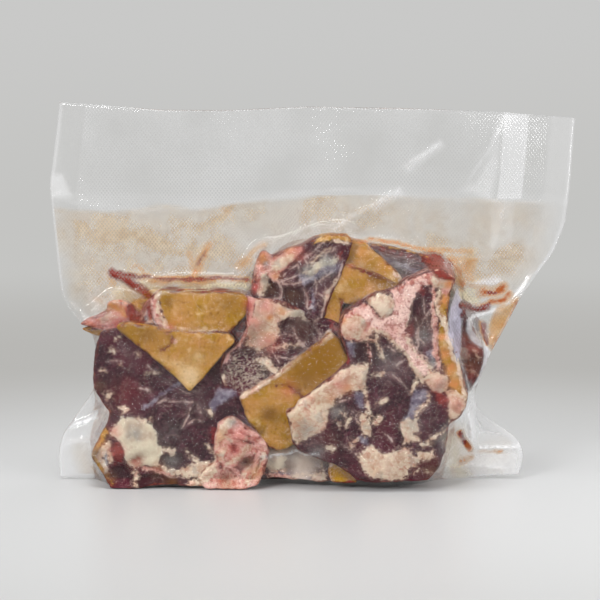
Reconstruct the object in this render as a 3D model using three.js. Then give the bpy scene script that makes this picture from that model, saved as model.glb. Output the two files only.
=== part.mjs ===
// Raw skin-on goat meat in a clear vacuum pouch, standing on its flattened base.
// The pouch and its pieces of meat are one solid, because the film clings to them all over.
// Millimetres, +Z up. X runs along the pouch, and the shown face looks towards -Y.
// The origin is on the floor, under the middle of the pouch.
import * as THREE from "three";

// Pouch
const pouchWidth = 280; // a pouch cut from a roll 280 mm wide
const halfWidth = pouchWidth / 2;
const headerHeight = 199; // from the floor to the cut top edge
const filmPair = 1.2; // both layers of film where nothing lies between them
const filmHalf = filmPair / 2;
const headerSway = 5; // how far the empty header waves out of its plane
const swayLength = 150; // from one wave of the header to the next

// Seals
const sealHeight = 151; // the heat seal that shut the pouch
const sealWide = 4;
const sealRise = 0.5; // a sealed band stands this proud on each face
const bandBottom = 127; // the upright band at the right of the header
const bandWide = 14;
const bandFoot = 102.5; // x of its middle at the bottom and at the top
const bandHead = 107.5;

// Filling
const meatTop = 135;
const sideRound = 11; // how a piece's outer edge rounds away under the film
const faceDome = 2.5; // how much further the middle of a piece's face stands than its edge
const domeReach = 22; // how far in from its outline a face is fully domed
const footRound = 9; // height over which the filling rounds in to the flat it stands on
const footIn = 0.16; // share of its depth that it loses there
const suction = 0.5; // how far the film is drawn in at each step of its settling
const settlingSteps = 40;

// Grid of the two film faces: even columns over the filling, and a few that follow each side edge
const meatLeft = -107;
const meatRight = 80;
const leftColumns = 7;
const meatColumns = 50;
const rightColumns = 9;
const columns = leftColumns + meatColumns + rightColumns;
const meatRows = 34;
const headerRows = 9;
const rows = meatRows + headerRows;

// The side edges of the pouch, as [height, x] from the floor to the top. They pull in where the filling is
// thick.
const leftEdge = [
  [0, -136], [11, -137], [22, -135], [30, -130], [40, -123], [48, -117.5], [62, -116], [72, -116],
  [80, -119], [86, -126], [92, -131.5], [100, -134.5], [119, -136.5], [140, -138.5], [155, -halfWidth],
  [177, -137], [200, -134],
];
const rightEdge = [
  [0, 111], [6, 113.5], [14, 113.5], [20, 110.5], [26, 103], [32, 94], [38, 88.5], [46, 87], [52, 89],
  [60, 92.5], [70, 96.5], [80, 102], [97, 110.5], [111, 119.5], [124, 128.5], [140, 134.5], [161, 137],
  [200, halfWidth],
];

// The bottom edge is flat under the meat, and its two corner flaps lift off the floor.
const footLeft = -112;
const footRight = 66;
const flapReach = 50;
const flapLift = 3;

// The top edge, as [x, height].
const topEdge = [
  [-halfWidth, headerHeight + 4], [-122, headerHeight + 2.5], [-80, headerHeight - 1],
  [-45, headerHeight - 1], [-5, headerHeight + 1], [45, headerHeight], [100, headerHeight - 2],
  [halfWidth, headerHeight - 5],
];

// A piece of meat under one face: how far that face stands from the pouch's middle plane, how much further
// for each millimetre to the right and upwards, and the piece's outline as [x, z]. Where a piece stands on
// the floor its outline runs on below it, so that its foot stays wide.
const piece = (depth, lean, outline) => ({ depth, lean, outline });

const slab = piece(27, [0.03, -0.05], [
  [-110, 82], [-97, 86], [-76, 83], [-41, 82], [-38, 75], [-47, 68], [-37, 51], [-29, 30], [-25, 11],
  [-29, -8], [-101, -8], [-113, 20], [-107, 33], [-106, 41], [-114, 57],
]);
const skinBlock = piece(22, [0.05, -0.08], [
  [-84, 103], [-36, 103], [-35, 86], [-42, 80], [-76, 80], [-88, 88], [-88, 98],
]);
const middlePiece = piece(22, [0, -0.06], [
  [-33, 101], [-12, 101], [5, 87], [6, 78], [-7, 69], [-36, 48], [-48, 55], [-48, 68], [-37, 77],
]);
const topPiece = piece(19, [0.08, -0.12], [
  [-30, 102], [-28, 117], [-7, 127], [9, 133], [19, 132], [45, 112], [37, 102], [18, 97], [15, 86], [-4, 92],
]);
const topRightEnd = piece(10, [0, -0.1], [[24, 129], [55, 123], [68, 119], [72, 109], [45, 108], [39, 113]]);
const bentSkin = piece(25, [-0.03, 0], [
  [-37, 49], [11, 79], [18, 70], [18, 65], [-7, 48], [-11, 41], [-9, 26], [-15, 22], [-24, 22], [-30, 32],
]);
const chop = piece(30, [-0.04, -0.07], [
  [17, 98], [42, 103], [61, 112], [71, 114], [75, 103], [74, 82], [78, 61], [80, 46], [76, 37], [69, 32],
  [66, 18], [60, -8], [18, -8], [-7, 20], [-11, 42], [-4, 49], [19, 66], [15, 82],
]);
const farRightEnd = piece(9, [-0.05, 0], [
  [70, 96], [78, 90], [87, 82], [90, 73], [89, 61], [82, 53], [72, 61],
]);
const lowPieces = piece(22, [0, 0], [[-27, 23], [12, 21], [19, 10], [23, -8], [-31, -8]]);
const shownPieces = [
  slab, skinBlock, middlePiece, topPiece, topRightEnd, bentSkin, chop, farRightEnd, lowPieces,
];

const hiddenPieces = [
  piece(25, [0.02, -0.04], [
    [-109, -8], [-58, -8], [-54, 29], [-61, 53], [-80, 60], [-112, 54], [-105, 39], [-111, 20],
  ]),
  piece(22, [0.04, -0.1], [
    [-110, 56], [-80, 61], [-61, 56], [-45, 72], [-49, 100], [-86, 102], [-99, 88], [-110, 81],
  ]),
  piece(28, [0, -0.05], [[-56, -8], [-5, -8], [5, 25], [-8, 51], [-39, 58], [-57, 51], [-51, 29]]),
  piece(23, [0, -0.14], [
    [-42, 60], [-8, 54], [16, 68], [18, 98], [6, 129], [-26, 117], [-47, 100], [-42, 75],
  ]),
  piece(27, [-0.03, -0.04], [[0, -8], [60, -8], [68, 31], [58, 51], [29, 59], [9, 49], [8, 25]]),
  piece(21, [-0.05, -0.14], [
    [18, 67], [31, 61], [59, 54], [80, 52], [88, 61], [87, 80], [72, 110], [45, 120], [21, 127], [21, 98],
  ]),
];

// Knobs of bone, fat and gristle that lift the film: where, how high and how wide.
const knob = (at, rise, reach) => ({ at, rise, reach });

const shownKnobs = [
  knob([-90, 28], 4, 13), // the gristle cap low on the left piece
  knob([-38, 24], 5, 14), // the red knuckle beside it
  knob([20, 84], 3.5, 8), // the ends and the middle of the chop's bone
  knob([61, 58], 3.5, 8),
  knob([45, 70], 2.5, 9),
  knob([66, 108], 3, 8),
  knob([33, 99], 3, 9), // fat at the chop's upper corner
  knob([-26, 115], 3, 8), // the fat horn of the top piece
  knob([-2, 27], 3, 14), // fat along the chop's lower left edge
  knob([45, 14], 2.5, 12),
];
const hiddenKnobs = [
  knob([-85, 30], 3, 16), knob([-78, 84], 3, 13), knob([-30, 24], 3, 17),
  knob([-12, 88], 3, 17), knob([36, 24], 3, 15), knob([56, 88], 3, 15),
];

// The main folds of film beside the filling: from and to as [x, z], with their rise and width.
const fold = (from, to, rise, width) => ({ from, to, rise, width });

const shownFolds = [
  fold([-109, 116], [-36, 113], 3.5, 5),
  fold([-124, 90], [-96, 97], 3, 4),
  fold([78, 108], [112, 108], 4, 4.5),
  fold([82, 94], [112, 102], 4, 4),
  fold([80, 42], [90, 26], 3, 4),
  fold([84, 22], [111, 22], 2, 3.5),
  fold([22, 138], [54, 157], 2.5, 4),
];
const hiddenFolds = [
  fold([-112, 108], [-60, 112], 3, 5),
  fold([80, 100], [110, 112], 3.5, 4.5),
  fold([-30, 132], [-62, 146], 2.5, 4),
];

const clamp01 = (t) => Math.min(1, Math.max(0, t));
const smooth = (t) => clamp01(t) ** 2 * (3 - 2 * clamp01(t));

// The value at a place of a smooth curve through [place, value] points.
function curveAt(points, place) {
  const next = points.findIndex(([p]) => p > place);
  if (next < 0) return points[points.length - 1][1];
  if (next === 0) return points[0][1];
  const [[p0, v0], [p1, v1]] = [points[next - 1], points[next]];
  const [before, after] = [points[next - 2] ?? points[next - 1], points[next + 1] ?? points[next]];
  const slope0 = (v1 - before[1]) / (p1 - before[0]);
  const slope1 = (after[1] - v0) / (after[0] - p0);
  const span = p1 - p0;
  const t = (place - p0) / span;
  const fromFirst = v0 * (1 + 2 * t) * (1 - t) ** 2 + slope0 * span * t * (1 - t) ** 2;
  const fromSecond = v1 * t ** 2 * (3 - 2 * t) + slope1 * span * t ** 2 * (t - 1);
  return fromFirst + fromSecond;
}

function distanceToLine([ax, az], [bx, bz], x, z) {
  const [dx, dz] = [bx - ax, bz - az];
  const t = clamp01(((x - ax) * dx + (z - az) * dz) / (dx * dx + dz * dz));
  return Math.hypot(x - ax - t * dx, z - az - t * dz);
}

// How far inside an outline a point lies, or 0 outside it.
function depthInside(outline, x, z) {
  let nearest = Infinity;
  let within = false;
  outline.forEach((a, i) => {
    const b = outline[(i + 1) % outline.length];
    nearest = Math.min(nearest, distanceToLine(a, b, x, z));
    if (a[1] > z !== b[1] > z && x < a[0] + ((z - a[1]) / (b[1] - a[1])) * (b[0] - a[0])) within = !within;
  });
  return within ? nearest : 0;
}

function middleOf(outline) {
  const sum = outline.reduce(([sx, sz], [x, z]) => [sx + x, sz + z], [0, 0]);
  return [sum[0] / outline.length, sum[1] / outline.length];
}

// How far a piece's face stands from the middle plane at a point. The face is a little domed, and rounds
// away at its edges and at its foot.
function pieceFace({ depth, lean, outline }, x, z) {
  const inside = depthInside(outline, x, z);
  const [middleX, middleZ] = middleOf(outline);
  const leaning = lean[0] * (x - middleX) + lean[1] * (z - middleZ);
  const face = depth + leaning - faceDome * (1 - smooth(inside / domeReach));
  const edge = Math.sqrt(1 - (1 - clamp01(inside / sideRound)) ** 2);
  const foot = 1 - footIn * (1 - clamp01(z / footRound)) ** 2;
  return face * edge * foot;
}

// The height of a round-topped swelling at a distance from its middle.
const swelling = (rise, distance, reach) => rise * Math.exp(-((distance / reach) ** 2));

function knobLift(knobs, x, z) {
  return Math.max(...knobs.map(({ at: [kx, kz], rise, reach }) => (
    swelling(rise, Math.hypot(x - kx, z - kz), reach)
  )));
}

function foldLift(folds, x, z) {
  return Math.max(...folds.map(({ from, to, rise, width }) => (
    swelling(rise, distanceToLine(from, to, x, z), width)
  )));
}

// How high the bottom edge stands off the floor.
function bottomAt(x) {
  const pastFoot = Math.max(footLeft - x, x - footRight, 0);
  return flapLift * smooth(pastFoot / flapReach);
}

// Half the film's own thickness: more on the two sealed bands.
function filmAt(x, z) {
  const alongBand = clamp01((z - bandBottom) / (headerHeight - bandBottom));
  const bandMiddle = bandFoot + (bandHead - bandFoot) * alongBand;
  const onBand = z > bandBottom && Math.abs(x - bandMiddle) < bandWide / 2;
  const onSeal = Math.abs(z - sealHeight) < sealWide;
  return filmHalf + (onBand || onSeal ? sealRise : 0);
}

// The middle plane is flat at the filling, and the empty header waves out of it.
function middlePlane(x, z) {
  const above = smooth((z - meatTop) / (headerHeight - meatTop));
  return headerSway * above * Math.sin((2 * Math.PI * (x + 0.25 * z)) / swayLength);
}

// Where a column of the grid lies between the side edges, and how high a row is as a share of the pouch.
function columnX(column, left, right) {
  if (column <= leftColumns) return left + ((meatLeft - left) * column) / leftColumns;
  if (column <= leftColumns + meatColumns) {
    return meatLeft + ((meatRight - meatLeft) * (column - leftColumns)) / meatColumns;
  }
  return meatRight + ((right - meatRight) * (column - leftColumns - meatColumns)) / rightColumns;
}

function rowShare(row) {
  if (row <= meatRows) return ((row / meatRows) * meatTop) / headerHeight;
  return (meatTop + ((row - meatRows) / headerRows) * (headerHeight - meatTop)) / headerHeight;
}

const places = [];
for (let row = 0; row <= rows; row++) {
  const level = rowShare(row) * headerHeight;
  for (let column = 0; column <= columns; column++) {
    const x = columnX(column, curveAt(leftEdge, level), curveAt(rightEdge, level));
    const [bottom, top] = [bottomAt(x), curveAt(topEdge, x)];
    places.push([x, bottom + (top - bottom) * rowShare(row)]);
  }
}
const at = (row, column) => row * (columns + 1) + column;

// One face of the pouch, as distances from the middle plane. It settles over the pieces as the film is drawn
// in: each point goes to the mean of its neighbours less the suction, but never into a piece.
function settledFace(pieces, knobs, folds) {
  const held = places.map(([x, z]) => {
    const deepest = Math.max(...pieces.map((one) => pieceFace(one, x, z)));
    return filmAt(x, z) + deepest + knobLift(knobs, x, z) * clamp01(deepest / sideRound);
  });
  const isSide = (i) => i % (columns + 1) === 0 || i % (columns + 1) === columns;
  let face = [...held];
  for (let step = 0; step < settlingSteps; step++) {
    face = face.map((_, i) => {
      const [row, column] = [Math.floor(i / (columns + 1)), i % (columns + 1)];
      if (isSide(i) || row === rows) return held[i];
      const below = row === 0 ? at(row + 1, column) : at(row - 1, column);
      const around = [i - 1, i + 1, below, at(row + 1, column)];
      const mean = around.reduce((sum, n) => sum + face[n], 0) / around.length;
      return Math.max(held[i], mean - suction);
    });
  }
  return face.map((distance, i) => distance + (isSide(i) ? 0 : foldLift(folds, ...places[i])));
}

// The grid's rim, from its lower left corner to the right, up, back to the left and down.
function rimOfGrid() {
  const rim = [];
  for (let column = 0; column < columns; column++) rim.push(at(0, column));
  for (let row = 0; row < rows; row++) rim.push(at(row, columns));
  for (let column = columns; column > 0; column--) rim.push(at(rows, column));
  for (let row = rows; row > 0; row--) rim.push(at(row, 0));
  return rim;
}

// The closed solid: the shown face, the back face, and the wall between their rims, which is wide under the
// meat.
function pouchGeometry() {
  const faces = [
    { side: -1, distances: settledFace(shownPieces, shownKnobs, shownFolds) },
    { side: 1, distances: settledFace(hiddenPieces, hiddenKnobs, hiddenFolds) },
  ];
  const positions = [];
  for (const { side, distances } of faces) {
    places.forEach(([x, z], i) => positions.push(x, middlePlane(x, z) + side * distances[i], z));
  }
  const back = places.length;
  const triangles = [];
  for (let row = 0; row < rows; row++) {
    for (let column = 0; column < columns; column++) {
      const [a, b] = [at(row, column), at(row, column + 1)];
      const [d, c] = [at(row + 1, column), at(row + 1, column + 1)];
      triangles.push(a, b, c, a, c, d);
      triangles.push(back + a, back + c, back + b, back + a, back + d, back + c);
    }
  }
  const rim = rimOfGrid();
  rim.forEach((a, i) => {
    const b = rim[(i + 1) % rim.length];
    triangles.push(b, a, back + a, b, back + a, back + b);
  });
  const geometry = new THREE.BufferGeometry();
  geometry.setAttribute("position", new THREE.Float32BufferAttribute(positions, 3));
  geometry.setIndex(triangles);
  geometry.computeBoundingBox();
  const { min, max } = geometry.boundingBox;
  geometry.translate(0, -(min.y + max.y) / 2, 0);
  geometry.computeVertexNormals();
  return geometry;
}

const pouchMaterial = new THREE.MeshStandardMaterial({ color: 0x7d4a45, roughness: 0.25, metalness: 0 });
const pouch = new THREE.Mesh(pouchGeometry(), pouchMaterial);
pouch.name = "sealed_pouch";

const goatMeatPack = new THREE.Group();
goatMeatPack.add(pouch);

export default goatMeatPack;
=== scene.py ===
# Raw skin-on goat meat in a clear vacuum pouch: two layers of thick bone-in pieces, the film drawn tight over
# them, the thin juice between its empty walls, and a plain pale table.
import math

import bmesh
import bpy
import numpy as np
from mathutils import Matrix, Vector
from mathutils.bvhtree import BVHTree


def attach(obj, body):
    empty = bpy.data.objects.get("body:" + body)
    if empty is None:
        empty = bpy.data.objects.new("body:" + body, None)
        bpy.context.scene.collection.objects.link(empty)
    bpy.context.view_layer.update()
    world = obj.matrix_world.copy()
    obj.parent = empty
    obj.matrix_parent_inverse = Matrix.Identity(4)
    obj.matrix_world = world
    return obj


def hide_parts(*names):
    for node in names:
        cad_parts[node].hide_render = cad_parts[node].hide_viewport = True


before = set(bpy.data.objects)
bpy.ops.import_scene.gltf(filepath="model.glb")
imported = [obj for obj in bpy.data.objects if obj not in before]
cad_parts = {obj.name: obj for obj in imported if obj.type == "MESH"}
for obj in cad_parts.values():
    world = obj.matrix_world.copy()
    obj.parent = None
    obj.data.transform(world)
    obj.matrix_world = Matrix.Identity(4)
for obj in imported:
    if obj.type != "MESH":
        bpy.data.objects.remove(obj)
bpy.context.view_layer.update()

mm = 0.001
pouchNode = "sealed_pouch"
midPlane = 2.3  # y of the plane that the pouch was flat in, in mm from the frame's own middle
foldDepth = -4  # y at which the folds and marks of the shown film are read from the photo
stainDepth = -3

# how the photo sees the pouch: every outline called shown is in pixels of its 600 x 600 frame
photo = {
    "pixels": 600,
    "lens": 100.0,
    "sensor": 36.0,
    "distance": 889.0,  # mm from the point looked at
    "tilt": math.radians(5.0),
    "lookAt": (-6.7, 0.0, 97.3),
}


def cameraAxes():
    forward = Vector((0, math.cos(photo["tilt"]), -math.sin(photo["tilt"])))
    up = Vector((0, math.sin(photo["tilt"]), math.cos(photo["tilt"])))
    eye = Vector(photo["lookAt"]) - forward * photo["distance"]
    return eye, forward, up


def pixelAt(distance):
    # mm covered by one pixel at a distance from the camera
    return distance * photo["sensor"] / photo["lens"] / photo["pixels"]


def paired(numbers):
    # the points of a flat list x, y, x, y and so on
    return list(zip(numbers[::2], numbers[1::2]))


def seenAt(numbers, depth):
    # where pixels of the photo meet the upright plane y = depth, as (x, z) in mm
    eye, forward, up = cameraAxes()
    met = []
    for across, down in paired(numbers):
        ray = forward + Vector((1, 0, 0)) * (across - photo["pixels"] / 2) * pixelAt(1)
        ray += up * (photo["pixels"] / 2 - down) * pixelAt(1)
        reach = (depth - eye.y) / ray.y
        met.append((eye.x + ray.x * reach, eye.z + ray.z * reach))
    return met


# small numpy tools


def softNoise(points, size, seed):
    # smooth value noise from -1 to 1 in cells of the given size
    cells = np.asarray(points, float) / size
    base = np.floor(cells).astype(np.int64)
    part = cells - base
    part = part * part * (3 - 2 * part)
    total = np.zeros(len(cells))
    for corner in range(8):
        offset = np.array([corner & 1, corner >> 1 & 1, corner >> 2 & 1])
        at = base + offset
        mixed = (at[:, 0] * 73856093) ^ (at[:, 1] * 19349663) ^ (at[:, 2] * 83492791) ^ (seed * 2654435761)
        mixed = (mixed ^ (mixed >> 13)) * 1274126177 & 0x7FFFFFFF
        mixed = (mixed ^ (mixed >> 16)) & 0xFFFF
        share = np.prod(np.where(offset, part, 1 - part), axis=1)
        total += share * (mixed / 32767.5 - 1)
    return total


def wander(points, size, seed):
    # a soft sideways shift for each point
    return np.stack([softNoise(points, size, seed), softNoise(points, size, seed + 1)], axis=1)


def smoothStep(low, high, values):
    share = np.clip((values - low) / (high - low), 0, 1)
    return share * share * (3 - 2 * share)


def distanceToPath(points, path):
    nearest = np.full(len(points), 1e9)
    for start, end in zip(path, path[1:]):
        start, end = np.array(start, float), np.array(end, float)
        along = end - start
        share = np.clip(((points - start) @ along) / max(along @ along, 1e-9), 0, 1)
        gap = np.linalg.norm(points - start - share[:, None] * along, axis=1)
        nearest = np.minimum(nearest, gap)
    return nearest


def insideBy(points, outline):
    # distance to an outline, positive inside it
    within = np.zeros(len(points), bool)
    ring = [*outline, outline[0]]
    for (ax, az), (bx, bz) in zip(ring, ring[1:]):
        crosses = (az > points[:, 1]) != (bz > points[:, 1])
        if az != bz:
            within ^= crosses & (points[:, 0] < ax + (points[:, 1] - az) / (bz - az) * (bx - ax))
    return np.where(within, 1, -1) * distanceToPath(points, ring)


# making objects


def newObject(name, data):
    body = bpy.data.objects.new(name, data)
    bpy.context.scene.collection.objects.link(body)
    return body


def bodyOf(name, shape):
    # an object from a bmesh, which is used up
    mesh = bpy.data.meshes.new(name)
    shape.to_mesh(mesh)
    shape.free()
    return newObject(name, mesh)


def placePoints(shape, xs, ys, zs):
    for vertex, x, y, z in zip(shape.verts, xs, ys, zs):
        vertex.co = (x * mm, y * mm, z * mm)


def smoothShaded(body, material):
    body.data.materials.append(material)
    body.data.polygons.foreach_set("use_smooth", [True] * len(body.data.polygons))


def setAttribute(mesh, name, values):
    attribute = mesh.attributes.new(name, "FLOAT", "POINT")
    attribute.data.foreach_set("value", values.astype(np.float32))


# meat

# the finishes that are painted on a piece, each as a distance in mm to its edge
# the dark finish is darker meat together with painted shade in gaps, openings and along the foot
# the sheen is a painted blue-grey and lilac reflection of the film over the meat
finishes = ("fat", "pink", "skin", "bone", "red", "darkMeatAndShade", "sheen", "gristle", "web")
meat = {
    "voxel": 0.56,  # mm between the points of a piece's surface
    "coarseVoxel": 1.0,
    "grow": 0.9,  # mm that a piece reaches beyond its outline, so that neighbours meet
    "hiddenGrow": 1.8,
    "cornerRound": 1.2,
    "roundShare": 0.6,
    "roundSegments": 3,
    "easing": 0.5,
    "easingSteps": 2,
    "lowest": 0.6,  # mm over the table, so that the film fits below
    "paintReach": 9.0,  # how far from its edge a finish is measured
    "paintWobble": 0.9,
    "hiddenWobble": 2.2,
    "wobbles": ((6.0, 1.0, 5), (2.4, 0.5, 105)),  # size in mm, share, added to the seed
    "thinning": (0.35, 0.75, 4.0),  # how thin lines swell and break: at least, swing, size in mm
    "lumpSize": 15.0,
    "lumpRise": 0.8,
    "grainSize": 3.6,
    "grainRise": 0.34,
    "fibreSize": 1.5,
    "fibreRise": 0.16,
    "fibreStretch": 0.3,
    "raised": {"fat": 0.22, "bone": 0.2, "pink": 0.15, "gristle": 0.25, "darkMeatAndShade": -0.5, "red": -0.2},
    "tints": ("orange", "grey", "brown", "flush", "olive"),
}

# A piece: outline, where its face stands (y in mm), how deep it is, how its edge is rounded, how its face
# leans and what is painted on it. Outlines are flat lists of x, y. areas are outlines, a line is its width
# and then the x, y of its path, tones are (x, y, radius, lightness), tints are soft spots (x, y, radius,
# strength) of a colour, nets are the same for a fine net of fat, and swells are (x, y, radius, rise in mm).
# Tones make the meat paler above 0 and darker below it, and some of them are painted highlights and
# painted shade.
shownPieces = {}
shownPieces["leftSlab"] = {
    "outline": [
        101, 334, 122, 331, 160, 351, 190, 384, 202, 366, 214, 351, 226, 346, 222, 362, 219, 374, 224, 386,
        238, 392, 247, 410, 258, 432, 262, 450, 256, 474, 240, 483, 200, 483, 150, 484, 134, 488, 113, 489,
        104, 474, 93, 456, 100, 439, 107, 426, 111, 412, 103, 402, 95, 389, 94, 378, 96, 357,
    ],
    "face": -24, "deep": 25, "round": 6, "lean": (0.02, -0.03), "seed": 3, "fibre": 35,
    "areas": {
        "gristle": [[
            122, 417, 138, 419, 148, 421, 153, 429, 157, 437, 163, 446, 163, 453, 159, 460, 158, 466, 147,
            465, 132, 467, 126, 461, 124, 450, 119, 440, 110, 433, 113, 426, 118, 421,
        ]],
        "fat": [
            [157, 462, 175, 469, 196, 464, 217, 460, 221, 465, 208, 471, 198, 475, 181, 475, 168, 471],
            [104, 394, 112, 394, 111, 400, 108, 399], [119, 408, 124, 407, 128, 411, 123, 413],
            [163, 448, 170, 447, 176, 450, 174, 454, 166, 452],
            [188, 483, 200, 476, 213, 475, 218, 480, 213, 488, 193, 487],
            [97, 456, 104, 444, 110, 440, 112, 446, 107, 452, 104, 462, 108, 470, 104, 472, 98, 462],
            [108, 449, 113, 448, 113, 461, 109, 462],
        ],
        "pink": [
            [111, 430, 118, 424, 124, 432, 126, 446, 119, 442],
            [143, 464, 158, 467, 176, 472, 174, 475, 156, 471, 143, 468],
            [206, 484, 230, 483, 230, 490, 206, 490],
        ],
        "skin": [[
            91, 455, 97, 440, 105, 429, 110, 433, 102, 443, 97, 455, 106, 472, 114, 484, 108, 486, 98, 472,
        ]],
        "red": [
            [113, 443, 119, 441, 123, 448, 123, 460, 116, 463, 112, 455],
            [213, 427, 219, 431, 219, 446, 214, 446, 210, 436], [104, 474, 109, 478, 114, 486, 108, 486],
        ],
        "darkMeatAndShade": [
            # painted shade in the openings along the foot and in the gap at the notch, beside darker meat
            [112, 466, 122, 464, 131, 469, 131, 479, 120, 481, 111, 476],
            [136, 473, 150, 473, 162, 474, 178, 479, 180, 488, 134, 488],
            [176, 481, 188, 476, 199, 475, 196, 478, 184, 482],
            [160, 455, 172, 456, 183, 453, 184, 463, 174, 466, 161, 463],
            [200, 372, 212, 350, 228, 344, 224, 362, 220, 374, 223, 386, 214, 382, 208, 372],
        ],
        "sheen": [[219, 389, 235, 391, 237, 396, 226, 401, 213, 410, 209, 405, 214, 397]],
    },
    "lines": {
        "fat": [
            # the shortest strokes, between 100 and 158 across and 334 and 374 down, are painted glints of the
            # film
            [1.8, 109, 349, 113, 350], [1.5, 187, 451, 190, 456, 197, 462],
            [1.3, 209, 446, 214, 452, 217, 461], [1.4, 136, 470, 136, 486],
            [1.2, 137, 419, 146, 420, 150, 418], [0.9, 148, 374, 151, 374], [0.9, 154, 373, 158, 373],
            [1.1, 124, 334, 128, 337], [0.9, 116, 340, 119, 338], [0.8, 118, 366, 120, 366],
            [1, 100, 371, 102, 371], [0.6, 136, 354, 138, 355], [1.6, 208, 409, 211, 414],
        ],
        "web": [
            [0.9, 109, 361, 120, 362], [1.1, 190, 408, 187, 418, 184, 427], [1, 190, 422, 194, 419, 200, 420],
            [0.8, 159, 402, 168, 400, 180, 401, 193, 403], [0.9, 182, 390, 188, 393, 198, 392],
            [0.9, 140, 389, 150, 392], [1, 154, 478, 160, 476, 164, 480], [0.9, 150, 482, 156, 480],
            [1.1, 166, 474, 176, 478, 186, 477], [0.7, 196, 404, 200, 412], [0.7, 148, 366, 156, 372],
        ],
        "sheen": [[1.2, 180, 383, 165, 393, 143, 407]],
        "darkMeatAndShade": [
            [1.4, 150, 410, 158, 430, 168, 446], [1.8, 206, 471, 214, 469],
            [1.4, 196, 404, 190, 412, 196, 420],
        ],
        "red": [[1.4, 120, 331, 125, 340], [1, 143, 464, 160, 468]],
    },
    "tones": [
        (117, 449, 9, 0.15), (106, 454, 4, 0.5), (186, 406, 8, 0.14), (203, 410, 9, 0.2),
        (150, 345, 20, -0.1), (150, 440, 10, 0.2),
    ],
    "tints": {
        "grey": [(134, 432, 8, 0.5), (172, 459, 8, 0.3), (170, 430, 14, 0.12)],
        "brown": [
            (137, 459, 6, 0.5), (98, 386, 7, 0.35), (106, 412, 5, 0.4), (97, 454, 7, 0.5), (107, 476, 7, 0.6),
        ],
        "flush": [(117, 450, 7, 0.5), (115, 431, 6, 0.4), (125, 395, 16, 0.1), (137, 462, 6, 0.3)],
        "orange": [(100, 442, 7, 0.3), (158, 467, 8, 0.12)], "olive": [(172, 482, 8, 0.12)],
    },
    "swells": [
        (137, 440, 24, 2.6), (137, 459, 6, -1.6), (115, 455, 10, 1), (190, 430, 26, 0.8), (160, 480, 9, -2),
        (120, 472, 8, -1.4), (165, 398, 16, 0.9), (128, 375, 18, 1), (203, 412, 9, 0.8), (173, 459, 8, -0.9),
    ],
}
shownPieces["skinTriangle"] = {
    "outline": [
        117, 327, 130, 325, 150, 328, 166, 332, 196, 334, 228, 335, 234, 342, 224, 351, 213, 363, 203, 377,
        190, 390, 168, 368, 145, 350, 124, 333,
    ],
    "face": -26.5, "deep": 20, "round": 2.4, "lean": (0.02, -0.06), "seed": 5, "fibre": 10,
    "areas": {"skin": [[100, 315, 250, 325, 250, 345, 190, 400, 100, 330]]},
    "lines": {
        "red": [[1.8, 160, 351, 168, 347, 172, 338, 169, 333]],
        "darkMeatAndShade": [[1.2, 120, 332, 145, 351, 168, 369, 189, 391]], "pink": [[2.5, 166, 333, 174, 341]],
    },
    "tones": [
        (190, 376, 13, 0.8), (199, 355, 7, 0.45), (160, 360, 12, 0.3), (176, 362, 9, 0.3),
        (140, 338, 12, -0.25), (185, 345, 12, 0.1), (150, 334, 14, -0.3), (215, 345, 12, -0.1),
        (180, 336, 10, -0.2),
    ],
    "tints": {
        "olive": [(160, 340, 16, 0.3), (212, 348, 9, 0.25), (135, 332, 10, 0.3)],
        "orange": [(200, 342, 8, 0.2), (176, 356, 6, 0.2), (150, 350, 8, 0.15), (222, 342, 6, 0.2)],
        "brown": [(122, 331, 7, 0.4)],
    },
    "swells": [(185, 345, 22, 1.2), (168, 342, 5, -0.8)],
}
shownPieces["skinBlock"] = {
    "outline": [
        152, 301, 160, 292, 205, 291, 240, 294, 247, 299, 244, 314, 237, 323, 228, 333, 197, 333, 168, 332,
        158, 326, 152, 315,
    ],
    "face": -21, "deep": 20, "round": 3.2, "lean": (0.03, -0.06), "seed": 8, "fibre": 0,
    "areas": {
        "skin": [[157, 290, 250, 288, 250, 310, 226, 338, 171, 338, 163, 315]],
        "pink": [[148, 296, 158, 292, 158, 305, 163, 318, 170, 334, 158, 331, 150, 316]],
    },
    "lines": {
        "fat": [[4, 158, 312, 166, 328, 170, 333], [2.4, 158, 293, 157, 306]],
        "red": [[1.6, 160, 291, 205, 290, 242, 294], [1.4, 168, 332, 200, 333, 226, 334]],
    },
    "tones": [
        (168, 302, 6, -0.4), (212, 306, 9, -0.15), (205, 306, 3, 0.6), (232, 302, 12, 0.15),
        (190, 318, 18, -0.08), (222, 326, 9, -0.15), (204, 328, 3, 0.7), (182, 328, 3, 0.7),
    ],
    "tints": {
        "orange": [(185, 300, 12, 0.1), (176, 322, 12, 0.3)],
        "olive": [(232, 303, 14, 0.5), (168, 300, 7, 0.5)], "brown": [(168, 302, 4, 0.4)],
        "flush": [(247, 304, 5, 0.5), (171, 328, 5, 0.4)],
    },
    "swells": [(200, 312, 22, 1.5), (162, 316, 6, 0.6)],
}
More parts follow.
